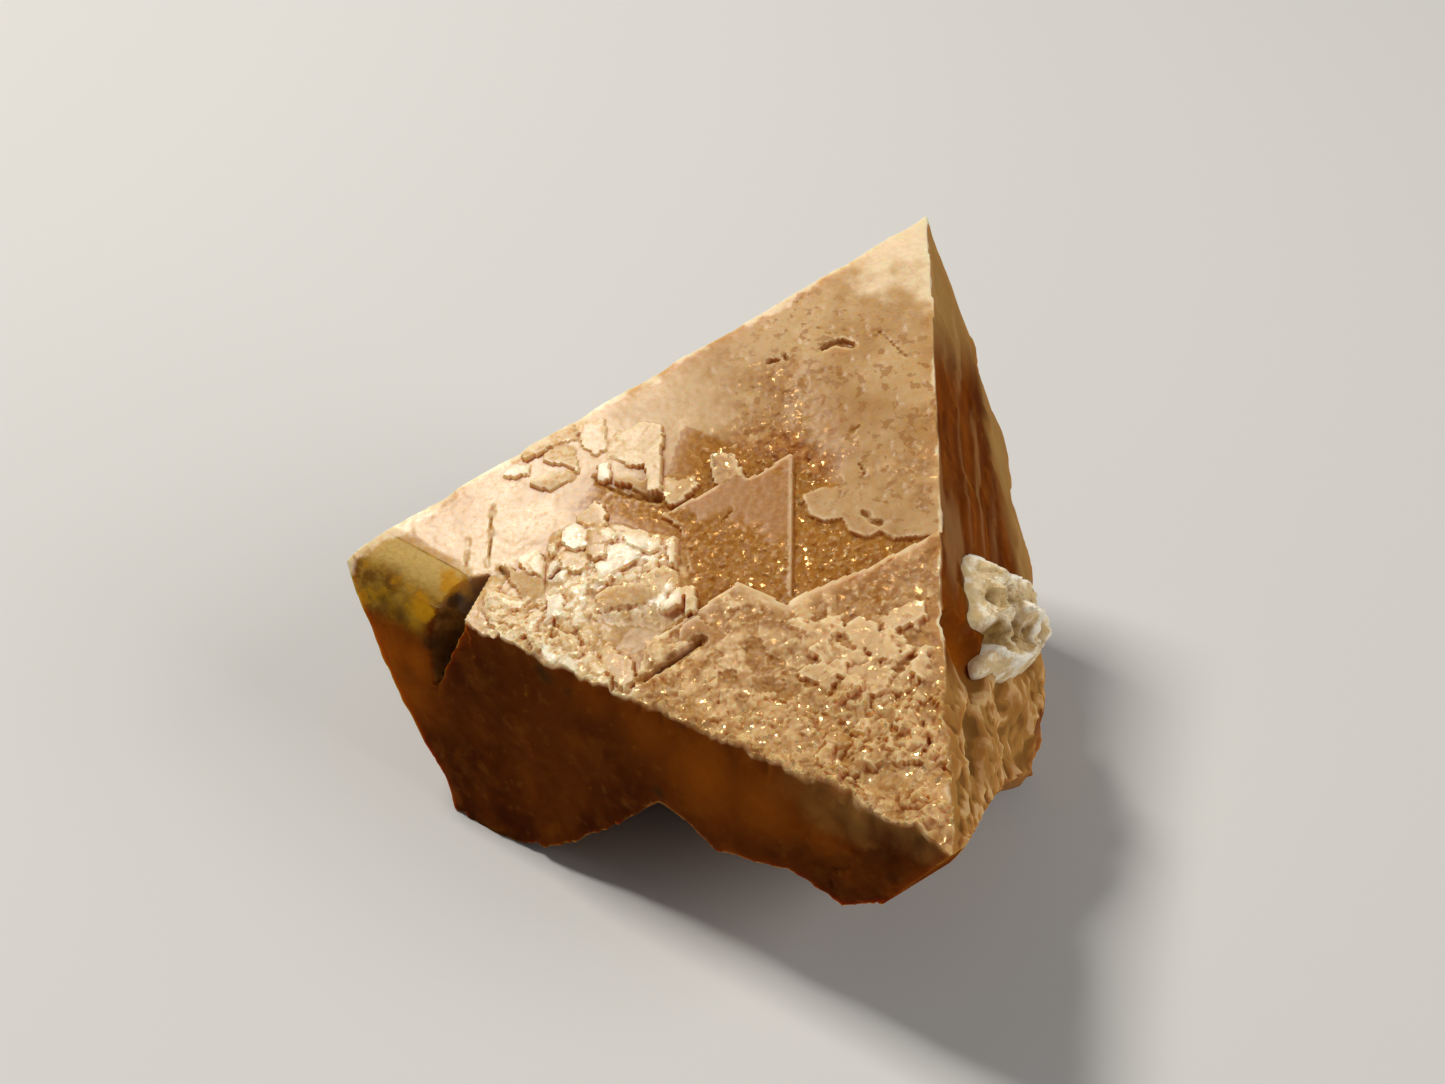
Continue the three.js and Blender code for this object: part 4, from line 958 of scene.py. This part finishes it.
RIB_HEIGHT, RIB_WIDTH = 0.55, 0.4
CROWN, CROWN_REACH = (9.6, 11.4), (9, 5)      # middle of the crust's crown in rulers, and half its spread
CRUST_SEAT = 0.5              # how far its underside lies under the right face
CRUST_RINGS, CRUST_SPOKES = 90, 300
CRUST_ROUNDING = 4            # spokes to either side over which the outline is evened out


def hollow_depth(x, y):
    """Depth of the crust's hollows: each is a bell round its own middle."""
    total = 0 * x
    for p, q, depth, radius in CRUST_HOLLOWS:
        cx, cy = RIGHT_FACE.flat(p, q)
        total += depth * np.exp(-((x - cx) ** 2 + (y - cy) ** 2) / radius**2)
    return total


def rib_share(x, y):
    """1 on the crust's ribs, falling off beside them as a bell of the way to the nearest one; noise bends
    them and makes them stronger and weaker along their run."""
    place = np.stack([x, y, 0 * x], 1)
    bent = x + 0.5 * rough_noise(place, 1.5, 615), y + 0.5 * rough_noise(place, 1.5, 617)
    ways = [line_distance(*bent, RIGHT_FACE.flat(*np.array(line).T)) for line in CRUST_RIBS]
    strength = np.clip(0.75 + 1.1 * rough_noise(place, 1.2, 613), 0.1, 1.2)
    return strength * np.exp(-((np.min(ways, axis=0) / RIB_WIDTH) ** 2))


def crust_height(x, y):
    """Height of the crust over the right face: a low crown with its ribs raised and its hollows sunk."""
    mx, my = RIGHT_FACE.flat(*CROWN)
    crown = np.clip(1 - ((x - mx) / CROWN_REACH[0]) ** 2 - ((y - my) / CROWN_REACH[1]) ** 2, 0, 1)
    height = 0.3 + 0.7 * crown + 0.3 * mounds(x, y, 1.5, 609) * (0.3 + 0.7 * crown)
    return np.maximum(height - hollow_depth(x, y), 0.05) + RIB_HEIGHT * rib_share(x, y)


def crust_skin():
    """The crust as rings round its middle: a ring is the outline drawn in by a share, its height that of
    the crust with flakes and pits, rounded off at the outline. A last ring and a point close it below."""
    corners = RIGHT_FACE.flat(*np.array(CRUST_OUTLINE).T)
    middle = corners.mean(0)
    bearing = np.arctan2(*(corners - middle).T[::-1])
    order = np.argsort(bearing)
    angle = np.linspace(-math.pi, math.pi, CRUST_SPOKES, endpoint=False)
    spoke = np.stack([np.cos(angle), np.sin(angle)], 1)
    reach = np.zeros(CRUST_SPOKES)
    loop = corners[order]
    for start, end in zip(loop, np.roll(loop, -1, 0)):
        away, side = start - middle, end - start
        turn = spoke[:, 0] * side[1] - spoke[:, 1] * side[0]
        far = (away[0] * side[1] - away[1] * side[0]) / turn
        share = (away[0] * spoke[:, 1] - away[1] * spoke[:, 0]) / turn
        reach = np.where((share >= 0) & (share <= 1) & (far > 0), np.maximum(reach, far), reach)
    reach = np.mean([np.roll(reach, n) for n in range(-CRUST_ROUNDING, CRUST_ROUNDING + 1)], axis=0)
    reach = reach * (1 + 0.045 * np.abs(np.sin(11 * angle + 2 * np.sin(3 * angle))))
    ring = np.linspace(0, 1, CRUST_RINGS + 1)[1:] ** 0.8
    x = middle[0] + np.outer(ring, reach * spoke[:, 0])
    y = middle[1] + np.outer(ring, reach * spoke[:, 1])
    place = np.stack([x.ravel(), y.ravel(), 0 * x.ravel()], 1)
    flakes = 0.3 * rough_noise(place, 1.3, 601)
    flakes += 0.3 * mounds(*place.T[:2], 0.7, 603) + 0.2 * grains(*place.T[:2], 0.5, 607)
    flakes += 0.1 * grains(*place.T[:2], 0.25, 611)
    height = crust_height(*place.T[:2]) + flakes
    fall = np.repeat(np.sqrt(np.clip(1 - ring**8, 0, 1)), CRUST_SPOKES)
    thinned = 0.25 + 0.75 * np.repeat(1 - ring**5, CRUST_SPOKES)
    height = np.maximum(height, 0.05) * thinned * fall - 0.35 * (1 - fall)
    sunk = height.reshape(CRUST_RINGS, CRUST_SPOKES)
    x = np.concatenate([x, x[-1:]])
    y = np.concatenate([y, y[-1:]])
    z = np.concatenate([sunk, np.full((1, CRUST_SPOKES), -CRUST_SEAT)])
    axes = np.stack([RIGHT_FACE.along, RIGHT_FACE.side, RIGHT_FACE.out])
    closing = [[*middle, sunk[0].mean()], [*middle, -CRUST_SEAT]]
    points = RIGHT_FACE.corner + np.concatenate([np.stack([x, y, z], -1).reshape(-1, 3), closing]) @ axes
    count = CRUST_RINGS + 1
    number = np.arange(count * CRUST_SPOKES).reshape(count, CRUST_SPOKES)
    after = np.roll(number, -1, 1)
    sides = np.concatenate([
        np.stack([number[:-1], number[1:], after[1:]], -1).reshape(-1, 3),
        np.stack([number[:-1], after[1:], after[:-1]], -1).reshape(-1, 3)])
    hub, foot = count * CRUST_SPOKES, count * CRUST_SPOKES + 1
    hubs = np.stack([np.full(CRUST_SPOKES, hub), number[0], after[0]], 1)
    feet = np.stack([np.full(CRUST_SPOKES, foot), after[-1], number[-1]], 1)
    triangles = np.concatenate([sides, hubs, feet])
    x, y = RIGHT_FACE.flat(*RIGHT_FACE.rulers(points)).T
    low, high = np.array(cad_box) / MM
    # hollows, which the finish darkens with painted shade, and ribs, which it lightens with a painted
    # highlight
    zones = {"hollow": np.clip(hollow_depth(x, y), 0, 1), "rib_highlight": rib_share(x, y)}
    return np.clip(points, low, high), triangles, zones


# ---- Finishes ----


class Value:
    """A number that varies over a surface. Sums, differences and products of it add Math nodes."""

    def __init__(self, finish, socket):
        self.finish, self.socket = finish, socket

    def _math(self, operation, first, second):
        node = self.finish.add("ShaderNodeMath", {"operation": operation}, {0: first, 1: second})
        return Value(self.finish, node.outputs[0])

    def __add__(self, other):
        return self._math("ADD", self, other)

    def __radd__(self, other):
        return self._math("ADD", other, self)

    def __sub__(self, other):
        return self._math("SUBTRACT", self, other)

    def __rsub__(self, other):
        return self._math("SUBTRACT", other, self)

    def __mul__(self, other):
        return self._math("MULTIPLY", self, other)

    def __rmul__(self, other):
        return self._math("MULTIPLY", other, self)


class Finish:
    """A material's nodes. add() makes any node from its type, its settings and its sockets' values."""

    def __init__(self, name):
        self.material = bpy.data.materials.new(name)
        self.material.use_nodes = True
        self.nodes = self.material.node_tree.nodes
        self.links = self.material.node_tree.links
        self.nodes.clear()
        self.place = self.add("ShaderNodeTexCoord").outputs["Object"]

    def add(self, kind, settings=None, sockets=None):
        node = self.nodes.new(kind)
        for name, value in (settings or {}).items():
            setattr(node, name, value)
        for name, value in (sockets or {}).items():
            socket = node.inputs[name]
            if isinstance(value, Value):
                self.links.new(value.socket, socket)
            elif isinstance(value, bpy.types.NodeSocket):
                self.links.new(value, socket)
            else:
                socket.default_value = value
        return node

    def zone(self, name):
        node = self.add("ShaderNodeAttribute", {"attribute_name": name})
        return Value(self, node.outputs["Fac"])

    def noise(self, size, detail):
        """Noise from 0 to 1 with features of the given size in metres."""
        node = self.add("ShaderNodeTexNoise", None, {
            "Vector": self.place, "Scale": 1 / size, "Detail": detail, "Roughness": 0.55})
        return Value(self, node.outputs["Fac"])

    def step(self, value, low, high):
        """0 below low, 1 above high, smooth between."""
        node = self.add("ShaderNodeMapRange", {"interpolation_type": "SMOOTHSTEP"}, {
            "Value": value, "From Min": low, "From Max": high})
        return Value(self, node.outputs["Result"])

    def mix(self, share, first, second):
        """Colour between first and second; each is a colour or another mix."""
        first, second = [c if isinstance(c, bpy.types.NodeSocket) else (*c, 1) for c in (first, second)]
        node = self.add("ShaderNodeMix", {"data_type": "RGBA"}, {0: share, 6: first, 7: second})
        return node.outputs[2]

    def coated(self, colour, *coats):
        """A colour under coats of (share, colour), each laid over the ones before."""
        for share, coat in coats:
            colour = self.mix(share, colour, coat)
        return colour

    def combine(self, operation, first, second):
        """A vector made from a vector and another vector or number."""
        second_socket = "Scale" if operation == "SCALE" else 1
        node = self.add("ShaderNodeVectorMath", {"operation": operation}, {0: first, second_socket: second})
        return node.outputs[0]

    def close(self, shader):
        self.add("ShaderNodeOutputMaterial", None, {"Surface": shader.outputs[0]})
        return self.material


def tilted_normal(finish, size, strength):
    """The surface's normal, tipped another way in each cell of a Voronoi pattern, as facets of grains are:
    the normal plus the cell's own random vector times the strength, brought back to length 1."""
    facets = finish.add("ShaderNodeTexVoronoi", None, {"Vector": finish.place, "Scale": 1 / size})
    centred = finish.combine("SUBTRACT", facets.outputs["Color"], (0.5, 0.5, 0.5))
    tip = finish.combine("SCALE", centred, strength)
    surface = finish.add("ShaderNodeNewGeometry")
    leaning = finish.combine("ADD", surface.outputs["Normal"], tip)
    return finish.add("ShaderNodeVectorMath", {"operation": "NORMALIZE"}, {0: leaning}).outputs[0]


def scheelite_finish():
    """Amber crystal: glassy and deep where it is clear, tan under a frosted skin on the top face, reddish
    and sparkling on sandy ground, creamy on light plates, towards the nose and on worn edges. Painted light
    and shade: a glare over the cream, brown shade in the hollows, darker slits, pits, crevices and groove,
    highlights on high places, and light coming through in orange and amber spots."""
    f = Finish("scheelite")
    sandy, bright, rough, tone, nose, clear, worn, fracture, slit = map(f.zone, (
        "sandy", "bright", "rough", "tone", "nose", "clear", "worn", "fracture", "slit"))
    painted_glow, olive, painted_amber_glow, dark, hollow, streak, cut, lumpy, pitted = map(f.zone, (
        "painted_glow", "olive", "painted_amber_glow", "dark", "hollow", "streak", "cut", "lumpy", "pitted"))
    cloud, patch, mottle = f.noise(0.0055, 4), f.noise(0.0022, 4), f.noise(0.0012, 4)
    speck, grit, sparkle = f.noise(0.0007, 3), f.noise(0.00025, 2), f.noise(0.00036, 2)
    frosted, golden = 1 - clear, rough * (1 - bright)

    deep = f.coated(
        f.mix(f.step(cloud, 0.35, 0.65), (0.065, 0.011, 0.0008), (0.15, 0.032, 0.0015)),
        (f.step(patch, 0.5, 0.66) * 0.4, (0.22, 0.06, 0.004)),
        # lighter orange: painted light coming through the crystal
        (painted_glow * (0.6 + 0.4 * patch), (0.38, 0.09, 0.003)),
        (olive * (0.55 + 0.5 * patch), (0.40, 0.22, 0.065)),
        (streak * 0.3, (0.52, 0.28, 0.10)),
        (f.step(speck, 0.56, 0.72) * 0.15, (0.34, 0.14, 0.02)))
    tan = f.coated(
        f.mix(f.step(cloud, 0.35, 0.65), (0.42, 0.23, 0.082), (0.56, 0.365, 0.17)),
        (f.step(patch, 0.45, 0.7) * 0.4, (0.64, 0.45, 0.25)),
        (f.step(grit, 0.5, 0.7) * 0.3, (0.34, 0.15, 0.04)))
    red = f.mix(f.step(speck, 0.4, 0.62), (0.26, 0.078, 0.014), (0.44, 0.19, 0.052))
    # pale cream, lighter still where the bright zone's painted glare lies
    pale = f.mix(f.step(bright, 0, 0.5), (0.78, 0.55, 0.30), (0.93, 0.76, 0.50))
    cream = f.mix(f.step(tone + 0.4 * (speck - 0.5), 0.2, 0.9), (0.55, 0.33, 0.14), pale)
    break_colour = f.mix(f.step(cloud, 0.4, 0.6), (0.16, 0.05, 0.012), (0.34, 0.14, 0.04))
    low_nose = f.step(0.8 - nose, 0, 0.25)
    horn = f.coated(
        f.mix(f.step(patch, 0.35, 0.6), (0.24, 0.12, 0.012), (0.40, 0.23, 0.035)),
        (low_nose * f.step(mottle, 0.48, 0.62) * 0.85, (0.17, 0.065, 0.006)),
        (low_nose * f.step(1 - mottle, 0.52, 0.6) * 0.7, (0.50, 0.25, 0.01)),
        (f.step(nose + 0.3 * (patch - 0.5), 0.6, 1.0), (0.58, 0.40, 0.13)))

    # cream skin with a painted glare over it, less where the ground is sandy
    cream_and_glare = f.step(bright * (1 - 0.6 * sandy) + 0.3 * (speck - 0.5), 0.1, 0.8)
    raised = f.step(tone + 0.25 * (speck - 0.5), 0.52, 0.8)
    # low and high places: painted shade in the low ones, painted highlights on the high ones
    low, high = f.step(hollow, 0.54, 0.75), f.step(0.5 - hollow, 0.02, 0.2)
    walls = f.step(cut, 0.1, 0.6)
    holes = pitted * f.step(f.noise(0.0006, 3), 0.56, 0.62)
    glint = (sandy * f.step(cloud, 0.3, 0.6) + 0.4 * rough + 0.5 * golden) * f.step(sparkle, 0.57, 0.65)
    colour = f.coated(
        f.mix(clear, tan, deep),
        (sandy * (0.35 + 1.1 * patch), red),
        # cream over the bright zone, with its painted glare
        (cream_and_glare * frosted * 0.85, cream),
        # cream on light plates, darker on dark ones: partly their own tone, partly painted light and shade
        # on facets
        (raised * frosted * 0.85, cream),
        (f.step(0.5 - tone, 0, 0.35) * frosted * 0.85, (0.35, 0.14, 0.02)),
        (rough * f.step(patch + 0.4 * (speck - 0.5), 0.4, 0.65) * 0.5, pale),
        (f.step(grit, 0.48, 0.6) * frosted * (0.2 + 0.5 * bright), (0.64, 0.36, 0.10)),
        # near-white on light plates in the bright zone: painted highlight
        (f.step(tone, 0.72, 0.95) * bright * 0.8, (0.99, 0.91, 0.76)),
        # brown in low places: painted shade; cream on high places: painted highlight
        (f.step(hollow, 0.56, 0.9) * frosted * 0.6, (0.42, 0.16, 0.03)),
        (f.step(0.5 - hollow, 0.03, 0.25) * frosted * 0.35, (0.90, 0.70, 0.46)),
        (lumpy * (0.3 + 0.6 * patch), (0.52, 0.25, 0.06)),
        # on the lumps: painted shade low down, painted highlight up high
        (low * lumpy * 0.6, (0.15, 0.055, 0.01)),
        (high * lumpy * f.step(patch, 0.35, 0.55) * 0.5, (0.80, 0.55, 0.28)),
        (f.step(nose, 0, 0.5), horn),
        # the groove's walls: dark with painted shade, mottled lighter amber in patches
        (walls * 0.9, (0.13, 0.05, 0.01)),
        (walls * f.step(patch, 0.45, 0.6) * 0.7, (0.36, 0.16, 0.03)),
        (f.step(fracture, 0.3, 0.7), break_colour),
        # cream on worn edges; along the terrace's rim partly a painted highlight
        (f.step(worn + 0.5 * (speck - 0.5), 0.35, 0.9) * 0.75, (0.92, 0.77, 0.54)),
        # amber spots: painted light coming through the crystal
        (f.step(painted_amber_glow + 2 * (mottle - 0.5), 0.35, 0.8) * 0.9, (0.55, 0.26, 0.008)),
        # dark spots: painted shade in crevices, on shaded facets and along the front ridge, with some dark
        # stains
        (f.step(dark + 2 * (0.5 - mottle), 0.3, 0.9) * 0.7, (0.06, 0.025, 0.006)),
        # slits, cracks and pits darker: painted shade
        (slit * 0.6, (0.27, 0.10, 0.02)),
        (holes * 0.6, (0.32, 0.13, 0.025)),
        (golden * 0.4, (0.58, 0.30, 0.08)),
        (glint * (0.45 + 0.4 * golden), (0.90, 0.60, 0.28)))
    gloss = 0.40 + 0.12 * (cloud - 0.5) + 0.16 * fracture - 0.15 * glint
    tilt = 0.10 + 0.7 * sandy + 0.3 * rough + 0.3 * golden + 0.12 * bright
    bump = f.add("ShaderNodeBump", None, {
        "Strength": 0.3, "Distance": 0.0002, "Height": mottle + (0.5 + 0.7 * bright) * grit - 1.2 * holes,
        "Normal": tilted_normal(f, 0.00026, 0.9 * tilt)})
    shader = f.add("ShaderNodeBsdfPrincipled", None, {
        "Base Color": colour, "Roughness": gloss, "IOR": 1.5, "Specular IOR Level": 0.0,
        "Normal": bump.outputs[0], "Metallic": glint * 0.6,
        "Coat Weight": 0.03 + (0.10 + 0.18 * bright) * frosted * (1 - sandy),
        "Coat Roughness": 0.3, "Coat IOR": 1.6, "Coat Tint": (1.0, 0.93, 0.8, 1),
        "Subsurface Weight": 0.5, "Subsurface Radius": (1.0, 0.36, 0.12), "Subsurface Scale": 0.0025})
    return f.close(shader)


def mica_finish():
    """Pale, dull to pearly flakes, white painted highlights on the ribs, olive brown painted shade in the
    hollows.
    """
    f = Finish("mica")
    cloud, speck = f.noise(0.0015, 4), f.noise(0.0005, 3)
    hollow, rib_highlight = f.zone("hollow"), f.zone("rib_highlight")
    colour = f.coated(
        f.mix(f.step(speck, 0.35, 0.65), (0.80, 0.60, 0.36), (1.0, 0.90, 0.70)),
        (f.step(cloud, 0.42, 0.56) * 0.75, (0.66, 0.47, 0.20)),
        # olive brown in the hollows: painted shade
        (f.step(hollow + 0.6 * (speck - 0.5), 0.1, 0.6) * 0.9, (0.32, 0.175, 0.04)),
        # white on the ribs: painted highlight
        (f.step(rib_highlight + 0.4 * (speck - 0.5), 0.45, 0.9) * 0.85, (1.0, 0.93, 0.80)))
    bump = f.add("ShaderNodeBump", None, {"Strength": 0.5, "Distance": 0.0002, "Height": speck})
    shader = f.add("ShaderNodeBsdfPrincipled", None, {
        "Base Color": colour, "Roughness": 0.5 + 0.2 * (cloud - 0.5), "Specular IOR Level": 0.12,
        "Normal": bump.outputs[0], "Subsurface Weight": 0.25,
        "Subsurface Radius": (1.0, 0.7, 0.45), "Subsurface Scale": 0.001})
    return f.close(shader)


# ---- The pieces ----

CRYSTAL_CRISP, CRUST_CRISP = 32, 50      # degrees past which an edge stays sharp

points, triangles, zones = crystal_skin()
crystal = add_skin("scheelite_skin", points, triangles, scheelite_finish(), CRYSTAL_CRISP, zones)
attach(crystal, "root")
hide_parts("scheelite_crystal")

points, triangles, zones = crust_skin()
crust = add_skin("mica_crust_skin", points, triangles, mica_finish(), CRUST_CRISP, zones)
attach(crust, "root")
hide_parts("mica_crust")

# ---- Floor, lights and camera ----


def pale_floor():
    mesh = bpy.data.meshes.new("floor")
    half = 1.5
    corners = [(-half, -half, 0), (half, -half, 0), (half, half, 0), (-half, half, 0)]
    mesh.from_pydata(corners, [], [(0, 1, 2, 3)])
    f = Finish("pale paper")
    shader = f.add("ShaderNodeBsdfPrincipled", None, {
        "Base Color": (0.62, 0.62, 0.61, 1), "Roughness": 0.9})
    mesh.materials.append(f.close(shader))
    floor = bpy.data.objects.new("floor", mesh)
    bpy.context.scene.collection.objects.link(floor)
    return floor


def soft_light(name, direction, distance, size, power, colour):
    """A square light at a distance from the crystal, turned towards it."""
    lamp = bpy.data.lights.new(name, "AREA")
    lamp.size, lamp.energy, lamp.color = size, power, colour
    light = bpy.data.objects.new(name, lamp)
    towards = unit(np.array(direction, float))
    light.location = INSIDE * MM + towards * distance
    z = towards
    x = unit(np.cross([0, 0, 1], z))
    y = np.cross(z, x)
    light.rotation_euler = Matrix(np.stack([x, y, z], 1).tolist()).to_euler()
    bpy.context.scene.collection.objects.link(light)
    return light


pale_floor()
soft_light("key", (-0.44, 0.32, 0.84), 0.45, 0.10, 1.8, (1.0, 0.95, 0.88))
soft_light("fill", (0.85, -0.25, 0.55), 0.8, 0.5, 3.0, (1.0, 0.98, 0.95))

world = bpy.data.worlds.new("studio")
world.use_nodes = True
world.node_tree.nodes["Background"].inputs["Color"].default_value = (1.0, 0.98, 0.95, 1)
world.node_tree.nodes["Background"].inputs["Strength"].default_value = 0.12
bpy.context.scene.world = world
bpy.context.scene.view_settings.view_transform = "Standard"

CAMERA_PLACE = (1.019, -71.497, 73.97)       # millimetres
CAMERA_TIP = 50.0                            # degrees up from looking straight down
IMAGE_WIDTH, FOCAL_PIXELS, SENSOR = 1445, 1793.6, 36.0

lens = bpy.data.cameras.new("camera")
lens.sensor_width = SENSOR
lens.lens = SENSOR * FOCAL_PIXELS / IMAGE_WIDTH
lens.clip_start = 0.001
camera = bpy.data.objects.new("camera", lens)
camera.location = [c * MM for c in CAMERA_PLACE]
camera.rotation_euler = (math.radians(CAMERA_TIP), 0, 0)
bpy.context.scene.collection.objects.link(camera)
bpy.context.scene.camera = camera
